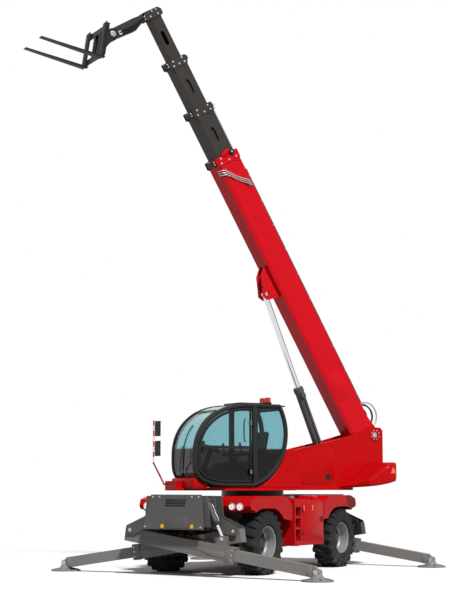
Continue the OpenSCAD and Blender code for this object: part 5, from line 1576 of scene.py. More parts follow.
@dataclass
class Cab(Assembly):
    """The cab: arches of tube, curved panes, a framed door, seals, wiper and what is inside.

    Attributes:
        left: Outer face of the left wall.
        right: Outer face of the right wall.
        bottom: Underside of the cab.
        top: Roof of the cab.
        crown: Middle of the round front, along and up.
        reach: From that middle to the front.
        powers: How square the round front is, under and over that middle.
        rear_disc: Middle and radius of the round back, in side view.
        tube: Radius of the arches.
        rim: Distance of the panes' edge inside the outline.
        glass: Thickness of the panes.
        pillar: Rear and front face of the door pillars.
        door_rear: Rear edge of the door.
        hinge: Place of the door's hinge line, along and across.
        hinge_levels: Heights of the door's two hinges.
        rail: Height of the rail across the door.
        screen_low: Lower edge of the windscreen.
        roof_front: Front edge of the roof panel.
        rear_sill: Lower edge of the rear window.
        rear_head: Upper edge of the rear window.
        beacon_x: Place of the beacons along the cab.
        beacon_insets: Distance of each beacon from the left wall.
        mirror_post: Place of the mirrors' bar, along and across.
    """

    left: float = 1.145
    right: float = 0.190
    bottom: float = 1.555
    top: float = 3.110
    crown: tuple[float, float] = (0.700, 2.135)
    reach: float = 1.177
    powers: tuple[float, float] = (4.0, 2.2)
    rear_disc: tuple[float, float, float] = (0.908, 2.555, 1.037)
    tube: float = 0.042
    rim: float = 0.075
    glass: float = 0.007
    pillar: tuple[float, float] = (0.545, 0.645)
    door_rear: float = 0.660
    hinge: tuple[float, float] = (0.640, 1.167)
    hinge_levels: tuple[float, float] = (1.840, 2.740)
    rail: float = 2.290
    screen_low: float = 1.740
    roof_front: float = 1.000
    rear_sill: float = 2.150
    rear_head: float = 2.960
    beacon_x: float = 0.250
    beacon_insets: tuple[float, float] = (0.130, 0.330)
    mirror_post: tuple[float, float] = (2.250, 0.230)

    def build(self) -> None:
        """Models everything on and in the cab."""
        self.body, self.place = "turret", Rig.turret()
        self.build_arches()
        self.build_panes()
        self.build_door()
        self.build_seals()
        self.build_wiper()
        self.build_door_parts()
        self.build_roof()
        self.build_mirrors()
        self.build_controls()

    def front(self, inset: float) -> list[tuple[float, float]]:
        """Walks up the round front of the side outline.

        Args:
            inset: Distance inside the outline.

        Returns:
            Points from the middle of the floor to the middle of the roof.
        """
        x, z = self.crown
        points = []
        for step in range(49):
            angle = math.radians(-90 + 3.75 * step)
            power = 2 / self.powers[0 if angle < 0 else 1]
            height = (z - self.bottom if angle < 0 else self.top - z) - inset
            along = (self.reach - inset) * abs(math.cos(angle)) ** power
            points.append((x + along, z + math.copysign(height * abs(math.sin(angle)) ** power, angle)))
        return points

    def back(self, inset: float) -> list[tuple[float, float]]:
        """Walks down the round back of the side outline, from roof to floor."""
        x, z, radius = self.rear_disc
        radius -= inset
        high = math.asin((self.top - inset - z) / radius)
        low = math.asin((self.bottom + inset - z) / radius)
        turns = (high + (low - high) * step / 36 for step in range(37))
        return [(x - radius * math.cos(turn), z + radius * math.sin(turn)) for turn in turns]

    def outline(self, inset: float) -> list[tuple[float, float]]:
        """Walks round the cab's side view, some way inside it."""
        return self.front(inset) + self.back(inset)

    @staticmethod
    def cut(points: Sequence[Point], part: int, limit: float, above: bool) -> list[tuple[float, float]]:
        """Cuts an outline at a straight line.

        Args:
            points: The closed outline.
            part: 0 to cut along the cab, 1 to cut in height.
            limit: Where the cut is.
            above: Whether the side above the limit is kept.

        Returns:
            The outline of the kept side.
        """
        kept = []
        for here, there in zip(points, [*points[1:], points[0]]):
            inside, inside_next = ((spot[part] > limit) == above for spot in (here, there))
            if inside:
                kept.append(tuple(here))
            if inside != inside_next:
                share = (limit - here[part]) / (there[part] - here[part])
                kept.append(tuple(a + share * (b - a) for a, b in zip(here, there)))
        return kept

    def band(self, name: str, outer: Sequence[Point], inner: Sequence[Point], edge: float) -> Thing:
        """Makes a curved panel across the cab between two lines of its side view.

        Args:
            name: Name of the panel.
            outer: Points of its outer face.
            inner: Points of its inner face, in the same order.
            edge: Distance of its ends inside the walls.

        Returns:
            The new object.
        """
        return Bench.slab(name, [*outer, *reversed(inner)], self.right + edge, self.left - edge, Axis.Y)

    def build_arches(self) -> None:
        """Models the arches, pillars, cross tubes, roof, floor, lower back and the beam under the screen."""
        ring = self.outline(self.tube)
        parts = []
        for y in (self.left - self.tube, self.right + self.tube):
            parts.append(self.seal("arch", ring, y, self.tube))
            low, high = self.pillar
            parts.append(Bench.block("pillar", (low, y - 0.034, 1.580), (high, y + 0.034, 3.085), 0.014))
        for x, z in ((1.02, 3.050), (0.10, 3.055), (0.005, 2.150), (1.785, 1.760)):
            parts.append(Bench.bar("cross", (x, self.right + 0.03, z), (x, self.left - 0.03, z), 0.030, 20))
        tops = []
        for inset in (0.006, 0.040):
            line = [
                spot for spot in self.front(inset) if spot[1] > self.crown[1] and spot[0] < self.roof_front
            ]
            tops.append([*line, self.back(inset)[0]])
        parts.append(self.band("roof", *tops, 0.03))
        for low, high in ((self.bottom, self.rear_sill), (self.rear_head, self.top)):
            lines = [
                [spot for spot in self.back(inset) if low <= spot[1] <= high] for inset in (0.010, 0.034)
            ]
            parts.append(self.band("back", *lines, 0.03))
        parts.append(
            Bench.block("floor", (0.60, self.right + 0.04, 1.566), (1.45, self.left - 0.04, 1.606), 0.004)
        )
        low, high = self.top - 0.050, self.top - 0.026
        parts.append(
            Bench.block("lip", (-0.070, self.right + 0.10, low), (0.06, self.left - 0.02, high), 0.006)
        )
        self.fit("cab_arches", parts, self.palette.dark, replaces=["cab_frame"])
        beam = Bench.block(
            "front_beam", (1.560, self.right + 0.01, 1.520), (1.868, self.left - 0.075, 1.728), 0.030
        )
        self.keep(beam, self.palette.red)

    def build_panes(self) -> None:
        """Models the windscreen, the fixed side panes and the rear window."""
        screen, back = [], []
        for inset in (0.016, 0.016 + self.glass):
            line = self.front(inset)
            screen.append([spot for spot in line if spot[1] > self.screen_low and spot[0] > self.roof_front])
            line = self.back(inset)
            back.append([spot for spot in line if self.rear_sill - 0.05 < spot[1] < self.rear_head + 0.05])
        panes = [self.band("screen", *screen, 0.05), self.band("rear", *back, 0.05)]
        wall = self.outline(self.rim - 0.02)
        quarter = self.cut(wall, 0, self.pillar[0] + 0.02, False)
        for outline, y in ((quarter, self.left - 0.040), (wall, self.right + 0.036)):
            panes.append(Bench.slab("pane", outline, y, y + self.glass, Axis.Y))
        self.fit("cab_panes", panes, self.palette.glass, replaces=["cab_glass"])

    def door_outline(self, inset: float) -> list[tuple[float, float]]:
        """Walks round the door's side view, some way inside its opening."""
        return self.cut(self.outline(2 * self.tube + inset), 0, self.door_rear + inset, True)

    def build_door(self) -> None:
        """Models the door's frame, its rail, its hinges and its pane."""
        front = max(self.front(2 * self.tube + 0.022))[0]
        low = (self.door_rear + 0.01, self.left - 0.058, self.rail - 0.028)
        parts = [
            self.seal("frame", self.door_outline(0.022), self.left - 0.036, 0.020),
            Bench.block("rail", low, (front, self.left - 0.020, self.rail + 0.028), 0.008),
        ]
        x, y = self.hinge
        for level in self.hinge_levels:
            parts.append(Bench.bar("hinge", (x, y, level - 0.06), (x, y, level + 0.06), 0.016, 20, 0.003))
            low, high = (x, self.left - 0.024, level - 0.045), (x + 0.085, self.left + 0.018, level + 0.045)
            parts.append(Bench.block("leaf", low, high, 0.005))
        self.fit("door_frame", parts, self.palette.dark, body="door", replaces=["cab_door"])
        y = self.left - 0.040
        pane = Bench.slab("door_pane", self.door_outline(0.024), y, y + self.glass, Axis.Y)
        self.keep(pane, self.palette.glass, body="door", replaces=["door_glass"])

    def seal(self, name: str, points: Sequence[Point], y: float, radius: float) -> Thing:
        """Makes a tube or a rubber seal along a closed outline on a side wall."""
        ring = [(x, y, z) for x, z in points]
        return Bench.pipe(name, [*ring, ring[0]], radius, False, 3)

    def build_seals(self) -> None:
        """Models the rubber seals of windscreen, door and windows."""
        wall = self.outline(self.rim + 0.012)
        quarter = self.cut(wall, 0, self.pillar[0] - 0.008, False)
        heights = [self.screen_low + 0.02 + 1.20 * step / 18 for step in range(19)]
        side_a = [self.on_screen(z, self.right + 0.085, -0.012) for z in heights]
        side_b = [(x, self.left - 0.085, z) for x, _, z in reversed(side_a)]
        fixed = [
            self.seal("seal", quarter, self.left - 0.034, 0.010),
            self.seal("seal", wall, self.right + 0.036, 0.010),
            Bench.pipe("seal", [*side_a, *side_b, side_a[0]], 0.010, False, 3),
        ]
        self.fit("window_seals", fixed, self.palette.hose)
        seal = self.seal("door_seal", self.door_outline(0.046), self.left - 0.032, 0.008)
        self.keep(seal, self.palette.hose, body="door")

    def on_screen(self, height: float, y: float, out: float) -> tuple[float, float, float]:
        """Gives a point on the round windscreen, some way off its face."""
        x, z = self.crown
        lower, upper = self.powers
        power, half = (lower, z - self.bottom) if height < z else (upper, self.top - z)
        share = (1 - (abs(height - z) / half) ** power) ** (1 / power)
        return x + (self.reach + out) * share, y, height

    def build_wiper(self) -> None:
        """Models the windscreen wiper: hub, arm and blade."""
        mid = (self.left + self.right) / 2
        arm = [
            self.on_screen(z, mid - 0.10 + 0.22 * (z - 1.80), 0.014) for z in (1.78, 1.90, 2.02, 2.16, 2.30)
        ]
        heights = (1.88, 2.02, 2.16, 2.30, 2.44, 2.58, 2.70)
        blade = [self.on_screen(z, mid + 0.03 + 0.10 * (z - 2.30), -0.006) for z in heights]
        link = [self.on_screen(2.30, mid + 0.010, 0.014), self.on_screen(2.30, mid + 0.03, -0.008)]
        x, y, z = self.on_screen(1.78, mid - 0.104, 0.0)
        parts = [
            Bench.bar("hub", (x - 0.024, y, z), (x + 0.022, y, z), 0.026, 24, 0.005),
            Bench.pipe("arm", arm, 0.008), Bench.pipe("blade", blade, 0.010),
            Bench.pipe("link", link, 0.009, False),
        ]
        self.fit("wiper", parts, self.palette.plastic)

    def build_door_parts(self) -> None:
        """Models the door's handle, its hinge bolts and the grab bar."""
        handle = [
            Bench.block("plate", (1.640, self.left - 0.036, 2.19), (1.700, self.left - 0.018, 2.275), 0.004),
            Bench.block("grip", (1.630, self.left - 0.022, 2.265), (1.710, self.left - 0.002, 2.310), 0.008),
        ]
        self.fit("door_handle", handle, self.palette.plastic, body="door")
        feet = [
            ((self.door_rear + 0.045, self.left + 0.018, level + shift), (0, 1, 0))
            for level in self.hinge_levels for shift in (-0.020, 0.020)
        ]
        self.bolts("hinge_bolts", 0.009, 0.010, feet, body="door")
        rail = [(0.76, 1.05, 2.40), (0.76, 1.02, 2.42), (0.76, 1.02, 2.80), (0.76, 1.05, 2.82)]
        self.keep(Bench.pipe("grab_bar", rail, 0.012), self.palette.plastic, body="door")

    def build_roof(self) -> None:
        """Models the roof hatch, the beacons' feet and the ribs of their lenses."""
        hatch = Bench.block(
            "roof_hatch", (0.36, 0.36, self.top - 0.024), (0.84, 0.98, self.top + 0.020), 0.010
        )
        self.keep(hatch, self.palette.dark)
        x, rows = self.beacon_x, [self.left - inset for inset in self.beacon_insets]
        feet = [
            Bench.bar("foot", (x, y, self.top - 0.002), (x, y, self.top + 0.034), 0.068, 36, 0.006)
            for y in rows
        ]
        self.fit("beacon_feet", feet, self.palette.plastic)
        ribs = [
            Bench.spun("rib", [(0.050, z), (0.0555, z), (0.0555, z + 0.008), (0.050, z + 0.008)], 36)
            for z in (0.06, 0.08, 0.10)
        ]
        spots = [Matrix.Translation((x, y, self.top)) @ UPRIGHT for y in rows]
        self.keep(Bench.repeat("beacon_ribs", Bench.join("ribs", ribs), spots), self.palette.lamp_red)

    def build_mirrors(self) -> None:
        """Models the mirrors' faces, the red and white bands on their bar and the sleeve of its arm."""
        x, y = self.mirror_post
        faces = [
            Bench.block("face", (x - 0.031, y + 0.052, z + 0.012), (x - 0.027, y + 0.218, z + 0.268), 0.001)
            for z in (2.130, 2.496)
        ]
        self.fit("mirror_faces", faces, self.palette.mirror)
        # The red bands and the sleeve below take the red lamp finish, whose glow is painted light on a bar
        # that is no lamp.
        for name, material, first in (
            ("white_bands", self.palette.white, 0), ("red_bands", self.palette.lamp_red, 1)
        ):
            levels = [2.020 + 0.096 * step for step in range(first, 8, 2)]
            bands = [Bench.bar("band", (x, y, level), (x, y, level + 0.096), 0.0165, 20) for level in levels]
            self.fit(name, bands, material, slot=Slot.RED)
        sleeve = Bench.pipe(
            "mirror_sleeve", [(2.045, y, 1.637), (2.12, y, 1.780), (2.235, y, 1.975)], 0.0165, False
        )
        self.keep(sleeve, self.palette.lamp_red, slot=Slot.RED)

    def build_controls(self) -> None:
        """Models arm rests with levers, a screen and the floor mat inside."""
        mid = (self.left + self.right) / 2
        rests, knobs = [], []
        for y in (mid - 0.320, mid + 0.320):
            rests.append(Bench.block("rest", (0.42, y - 0.045, 2.14), (0.86, y + 0.045, 2.20), 0.018))
            rests.append(Bench.block("post", (0.52, y - 0.03, 1.95), (0.66, y + 0.03, 2.15), 0.010))
            knobs.append(Bench.bar("lever", (0.81, y, 2.19), (0.84, y, 2.31), 0.014, 16, 0.0, 0.010))
            knobs.append(Bench.bar("grip", (0.835, y, 2.29), (0.848, y, 2.385), 0.026, 20, 0.010, 0.020))
        self.fit("arm_rests", rests, self.palette.vinyl)
        self.fit("levers", knobs, self.palette.plastic)
        screen = [
            Bench.block("screen", (1.30, 0.285, 2.22), (1.33, 0.47, 2.42), 0.008),
            Bench.bar("stalk", (1.33, 0.30, 2.30), (1.42, 0.25, 2.16), 0.012, 16),
        ]
        self.fit("side_screen", screen, self.palette.plastic)
        mat = Bench.block(
            "floor_mat", (0.25, self.right + 0.06, 1.611), (1.02, self.left - 0.06, 1.620), 0.003
        )
        self.keep(mat, self.palette.hose)


@dataclass
class DriverSeat(Assembly):
    """The padded seat: cushion and back on a plain post.

    Attributes:
        middle: Middle of the seat across the cab.
        rear: Rear edge of the cushion.
        front: Front edge of the cushion.
        base: Underside of the cushion.
        half: Half of the cushion's width.
        lean: How far the back leans, in degrees.
        voxel: Cell size of the even mesh that a pad is shaped from.
        soft: Largest angle that is shaded smooth on a pad, in degrees.
    """

    middle: float = 0.6675
    rear: float = 0.330
    front: float = 0.900
    base: float = 1.895
    half: float = 0.255
    lean: float = 12.0
    voxel: float = 0.011
    soft: float = 60.0

    def build(self) -> None:
        """Models the pads and what carries them."""
        self.body, self.place = "turret", Rig.turret()
        low, high = (0.62, self.middle - 0.16, 1.612), (0.86, self.middle + 0.16, self.base + 0.02)
        self.keep(Bench.block("seat_post", low, high, 0.02), self.palette.plastic)
        size = (self.front - self.rear, 2 * self.half, 0.135)
        cushion = self.pad("seat_cushion", size, 0.018, (-0.34, 0.34), True)
        spot = self.place @ Matrix.Translation(((self.rear + self.front) / 2, self.middle, self.base + 0.066))
        nodes = ["operator_seat"]
        self.keep(cushion, self.palette.vinyl, place=spot, smooth=self.soft, replaces=nodes)
        spot = (
            self.place @ Matrix.Translation((self.rear + 0.05, self.middle, self.base + 0.12))
            @ Matrix.Rotation(-math.radians(self.lean), 4, "Y")
            @ Matrix.Translation((-0.062, 0.0, 0.31))
            @ Matrix.Rotation(math.pi / 2, 4, "Y")
        )
        back = self.pad("seat_back", (0.60, 2 * self.half - 0.03, 0.115), 0.016, (-0.40, 0.40), False)
        self.keep(back, self.palette.vinyl, place=spot, smooth=self.soft)

    def pad(
        self, name: str, size: Point, crown: float, channels: Sequence[float], level: bool
    ) -> Thing:
        """Shapes one pad: a rounded block with a crown, pulled-in sides and sewn channels.

        Args:
            name: Name of the pad.
            size: Length, width and thickness.
            crown: How far the middle swells.
            channels: Where the sewn channels run, as shares of half the width.
            level: Whether the underside stays flat.

        Returns:
            The pad, around the origin.
        """
        half = Vector(size) / 2
        pad = Bench.block(name, -half, half, 0.0)
        Bench.soften(pad, half.z * 0.62, 4)
        Bench.modify(pad, "REMESH", mode="VOXEL", voxel_size=self.voxel)
        for vertex in pad.data.vertices:
            a, b = vertex.co.x / half.x, vertex.co.y / half.y
            swell = max(0.0, 1 - a * a) * max(0.0, 1 - b * b)
            groove = sum(math.exp(-(((b - line) * half.y / 0.012) ** 2)) for line in channels)
            depth = crown * (swell - 0.45) - 0.010 * groove * max(0.0, 1 - a**6)
            if vertex.co.z > 0:
                vertex.co.z += depth * min(1.0, vertex.co.z / (0.6 * half.z))
            elif not level:
                vertex.co.z -= 0.5 * depth * min(1.0, -vertex.co.z / (0.6 * half.z))
            pull = 0.010 * (1 - b * b) * abs(a) ** 4
            vertex.co.x -= math.copysign(max(0.0, pull), vertex.co.x)
        Bench.modify(pad, "SMOOTH", factor=0.5, iterations=3)
        return pad


@dataclass
class Chassis(Assembly):
    """Lamps, clips, caps and panels of the chassis.

    Attributes:
        guard_x: Face that the front guard leans against.
        guard_top: Top of the front guard.
        guard_lean: How far the guard leans, in degrees.
        guard_t: Thickness of the guard.
        lamp_x: Nose of the fenders.
        lamp_z: Height of the lamps.
        lamp_r: Radius of the lamps.
        lamp_out: How far a lamp's face stands ahead of the fender's nose.
        lamps: Places of the two lamps of a pair across the chassis.
        side: Outer face of the side boxes.
        box_top: Top of the side boxes.
    """

    guard_x: float = 2.707
    guard_top: float = 1.430
    guard_lean: float = 11.0
    guard_t: float = 0.024
    lamp_x: float = 2.140
    lamp_z: float = 1.2184
    lamp_r: float = 0.058
    lamp_out: float = 0.0463
    lamps: tuple[float, float] = (0.830, 0.990)
    side: float = 1.200
    box_top: float = 1.320

    def build(self) -> None:
        """Models the fittings on all sides of the chassis."""
        self.body, self.place = "chassis", Rig.chassis()
        self.build_guard()
        self.build_lamps()
        self.build_nose()
        self.build_left_box()
        self.build_right_box()

    def build_guard(self) -> None:
        """Models the clips, bolts, plate and grille on the front guard."""
        spot = (
            self.place @ Matrix.Translation((self.guard_x, 0.0, self.guard_top))
            @ Matrix.Rotation(-math.radians(self.guard_lean), 4, "Y")
        )
        face = self.guard_t
        clips = []
        for y in (-0.22, 0.40):
            outline = [
                (y - 0.030, -0.600), (y + 0.030, -0.600), (y + 0.030, -0.550), (y, -0.525),
                (y - 0.030, -0.550)
            ]
            clips.append(Bench.slab("clip", outline, face - 0.002, face + 0.012, Axis.X, 0.003))
        self.fit("guard_clips", clips, self.palette.yellow, place=spot)
        corners = (
            (-0.48, -0.045), (0.48, -0.045), (-0.58, -0.575), (0.58, -0.575), (-0.34, -0.045), (0.34, -0.045)
        )
        self.bolts("guard_bolts", 0.014, 0.016, [((face, y, z), (1, 0, 0)) for y, z in corners], place=spot)
        plate = Bench.block("guard_plate", (face - 0.002, -0.15, -0.600), (face + 0.007, 0.33, -0.385), 0.003)
        self.keep(plate, self.palette.guard, place=spot)
        ribs = [
            Bench.block("rib", (face - 0.013, -0.21, z), (face - 0.004, 0.21, z + 0.022), 0.003)
            for z in (-0.125, -0.165, -0.205)
        ]
        self.fit("guard_grille", ribs, self.palette.plastic, place=spot, slot=Slot.DARK)

    def build_lamps(self) -> None:
        """Models the lamps' rings, bulbs, and the coloured lenses at the rear."""
        face, r = self.lamp_x + self.lamp_out, self.lamp_r
        spots = [
            end @ Matrix.Translation((face, hand * y, self.lamp_z)) @ ALONG_X
            for end in (Matrix.Identity(4), HALF_TURN) for hand in HANDS for y in self.lamps
        ]
        profile = [
            (r - 0.004, -0.001), (r - 0.004, 0.004), (r + 0.004, 0.006), (r + 0.010, 0.001),
            (r + 0.010, -0.021),
            (r + 0.0005, -0.021), (r + 0.0005, -0.001),
        ]
        self.keep(Bench.repeat("lamp_rings", Bench.spun("ring", profile, 48), spots), self.palette.chrome)
        profile = [(0.001, 0.0), (0.024, -0.001), (0.024, 0.002), (0.014, 0.006), (0.001, 0.008)]
        self.keep(Bench.repeat("lamp_bulbs", Bench.spun("bulb", profile, 32), spots[:4]), self.palette.lens)
        profile = [(0.001, -0.001), (r - 0.005, -0.001), (r - 0.006, 0.004), (0.001, 0.009)]
        for name, material, first in (
            ("rear_lamps", self.palette.lamp_red, 4), ("turn_lamps", self.palette.amber, 5)
        ):
            self.keep(Bench.repeat(name, Bench.spun("lens", profile, 40), spots[first::2]), material)

    def build_nose(self) -> None:
        """Models the red surround of the lamps at the front left."""
        reach = self.lamp_r + 0.025
        outline = []
        for middle, start in ((self.lamps[1], -90), (self.lamps[0], 90)):
            for step in range(13):
                angle = math.radians(start + 15 * step)
                outline.append((middle + reach * math.cos(angle), self.lamp_z + reach * math.sin(angle)))
        nose = Bench.slab("lamp_surround", outline, self.lamp_x - 0.004, self.lamp_x + 0.0265, Axis.X, 0.004)
        self.keep(nose, self.palette.red)

    def build_left_box(self) -> None:
        """Models door panel, reflectors, treads and caps of the left box."""
        side, top, y = self.side, self.box_top, self.side - 0.140
        panel = Bench.block("box_door", (-0.610, side - 0.004, 0.560), (0.205, side + 0.008, 1.265), 0.006)
        self.keep(panel, self.palette.red)
        marks = [
            Bench.block("mark", (x, side + 0.006, 1.120), (x + 0.030, side + 0.015, 1.225), 0.003)
            for x in (-0.20, 0.150)
        ]
        # The side reflectors take the amber lamp finish: its glow is painted light here.
        self.fit("side_reflectors", marks, self.palette.amber)
        latch = [Bench.block("latch", (-0.590, side + 0.004, 0.900), (-0.550, side + 0.024, 1.010), 0.006)]
        for z in (0.66, 1.08):
            latch.append(
                Bench.bar("pin", (0.200, side + 0.010, z), (0.200, side + 0.010, z + 0.09), 0.012, 16)
            )
        self.fit("box_latch", latch, self.palette.plastic)
        treads = [
            Bench.block("tread", (0.275, y, level), (0.475, side - 0.014, level + 0.006), 0.002)
            for level in (0.570, 0.8167, 1.0233)
        ]
        self.fit("step_treads", treads, self.palette.plastic)
        # The oil cap takes the red lamp finish: its glow is painted light on a cap.
        for name, x, material in (
            ("fuel_cap", 0.380, self.palette.inner_leg), ("oil_cap", -0.520, self.palette.lamp_red)
        ):
            cap = [
                Bench.bar("base", (x, y, top + 0.040), (x, y, top + 0.066), 0.062, 32, 0.010),
                Bench.block(
                    "grip", (x - 0.050, y - 0.009, top + 0.06), (x + 0.050, y + 0.009, top + 0.080), 0.006
                ),
            ]
            self.fit(name, cap, material, slot=Slot.PLASTIC)

    def build_right_box(self) -> None:
        """Models handles, hinges and the mesh behind the slots of the engine cover."""
        side = -self.side
        fittings = [
            Bench.block("handle", (x, side - 0.022, 0.640), (x + 0.110, side + 0.003, 0.672), 0.008)
            for x in (-0.42, 0.20)
        ]
        for x in (-0.48, 0.24):
            fittings.append(
                Bench.bar("hinge", (x, side - 0.006, 1.300), (x + 0.12, side - 0.006, 1.300), 0.011, 16)
            )
        self.fit("cover_handles", fittings, self.palette.plastic)
        wires = [
            Bench.bar("wire", (x, side + 0.016, 0.915), (x, side + 0.016, 1.255), 0.003, 8)
            for x in (-0.500 + 0.040 * step for step in range(22))
        ]
        self.fit("cover_mesh", wires, self.palette.plastic)


@dataclass
class Stabiliser(Assembly):
    """Fittings of the four stabiliser legs and their jacks.

    Attributes:
        length: From the swing pin to the foot pin, along the leg.
        drop: Depth of the leg's middle under the swing pin.
        outer_half: Half of the outer box's width.
        outer_height: Height of the outer box.
        outer_l: Where the outer box ends.
        inner_half: Half of the inner box's width.
        jack_eye: Place of the jack's eye, along and up.
        jack_r: Radius of the jack's barrel.
        jack_rod: Radius of the jack's rod.
        jack_l: Length of the jack's barrel.
        foot_r: Radius of the foot.
    """

    length: float = 3.780
    drop: float = 0.090
    outer_half: float = 0.089
    outer_height: float = 0.238
    outer_l: float = 2.180
    inner_half: float = 0.065
    jack_eye: tuple[float, float] = (1.890, 0.150)
    jack_r: float = 0.050
    jack_rod: float = 0.028
    jack_l: float = 0.470
    foot_r: float = 0.275

    def build(self) -> None:
        """Models the fittings at each corner."""
        for corner in CORNERS:
            self.place = Rig.hinge(f"leg_swing_{corner}", f"leg_slide_{corner}")
            self.build_outer(corner)
            self.build_inner(corner)
            self.place = Rig.hinge(f"jack_turn_{corner}", f"jack_slide_{corner}")
            self.build_jack(corner)

    def build_outer(self, corner: str) -> None:
        """Models pins, mouth bolts, side ribs, the collar and the clipped hose of an outer leg."""
        self.body = f"leg_outer_{corner}"
        pins = [
            *Bench.heads((0, 0), 0.1265, 0.136, 0.034, 28, 0.004),
            *Bench.heads(self.jack_eye, 0.0575, 0.070, 0.034, 28, 0.004),
        ]
        self.fit(f"leg_pins_{corner}", pins, self.palette.steel)
        mid, side = -self.drop, self.outer_half + 0.008
        feet = [
            ((self.outer_l - 0.035, hand * side, mid + up), (0, hand, 0))
            for hand in HANDS for up in (-0.085, 0.0, 0.085)
        ]
        self.bolts(f"mouth_bolts_{corner}", 0.011, 0.012, feet)
        outline = [
            (0.16, mid - 0.020), (1.50, mid - 0.020), (1.66, mid - 0.075), (2.08, mid - 0.085),
            (2.08, mid + 0.020), (1.66, mid + 0.028), (1.50, mid + 0.010), (0.16, mid + 0.010),
        ]
        ribs = Bench.sides("rib", outline, self.outer_half - 0.002, self.outer_half + 0.006, 0.003)
        self.fit(f"leg_ribs_{corner}", ribs, self.palette.leg)
        self.fit(f"leg_collar_{corner}", self.collar(), self.palette.leg)
        top = mid + self.outer_height / 2
        spots = ((0.24, -0.002), (0.30, 0.016), (1.10, 0.018), (1.60, 0.020), (1.70, -0.002))
        hose = Bench.pipe(f"leg_hose_{corner}", [(x, 0.05, top + up) for x, up in spots], 0.011)
        self.keep(hose, self.palette.hose)
        clips = [
            Bench.block("clip", (x, 0.030, top - 0.003), (x + 0.035, 0.070, top + 0.034), 0.004)
            for x in (0.42, 0.95, 1.45)
        ]
        self.fit(f"hose_clips_{corner}", clips, self.palette.leg)

    def collar(self) -> list[Thing]:
        """Makes the plates of the welded band around the mouth of an outer leg."""
        start, end = self.outer_l - 0.165, self.outer_l - 0.070
        half, tall, band = self.outer_half, self.outer_height / 2, 0.014
        low, high = -self.drop - tall, -self.drop + tall
        plates = [
            Bench.block("plate", (start, -half - band, z), (end, half + band, z + band), 0.004)
            for z in (low - band, high)
        ]
        for y in (-half - band, half):
            plates.append(Bench.block("plate", (start, y, low - band), (end, y + band, high + band), 0.004))
        return plates

    def build_inner(self, corner: str) -> None:
        """Models the foot pin's heads, the leg's end ribs and the foot's rim."""
        self.body = f"leg_inner_{corner}"
        end, mid, half, r = self.length, -self.drop, self.inner_half, self.foot_r
        heads = Bench.heads((end, mid), half - 0.001, half + 0.014, 0.046, 28, 0.005)
        self.fit(f"foot_pin_{corner}", heads, self.palette.steel)
        outline = [
            (end - 0.170, mid - 0.070), (end - 0.070, mid - 0.085), (end - 0.070, mid + 0.085),
            (end - 0.170, mid + 0.070), (end - 0.185, mid),
        ]
        straps = Bench.sides("strap", outline, half - 0.002, half + 0.006, 0.003)
        self.fit(f"leg_end_{corner}", straps, self.palette.inner_leg)
        foot = self.place @ Vector((end, 0.0, mid))
        profile = [(r - 0.030, 0.024), (r - 0.026, 0.031), (r - 0.006, 0.031), (r - 0.002, 0.024)]
        spot = Matrix.Translation((foot.x, foot.y, 0.0)) @ UPRIGHT
        self.keep(Bench.spun(f"foot_rim_{corner}", profile, 64), self.palette.inner_leg, place=spot)

    def build_jack(self, corner: str) -> None:
        """Models the gland and the line along a jack."""
        self.body = f"jack_barrel_{corner}"
        r, end = self.jack_r, self.jack_l
        gland = Bench.gland(
            f"jack_gland_{corner}", self.jack_rod + 0.001, r + 0.007, r - 0.008, 0.055, 0.010, 40
        )
        self.keep(gland, self.palette.dark, place=self.place @ Matrix.Translation((end, 0, 0)) @ ALONG_X)
        up = r + 0.012
        spots = ((0.09, r - 0.004), (0.11, up), (0.25, up), (end - 0.06, up), (end - 0.035, r))
        line = Bench.pipe(f"jack_line_{corner}", [(x, 0, z) for x, z in spots], 0.008)
        self.keep(line, self.palette.steel)


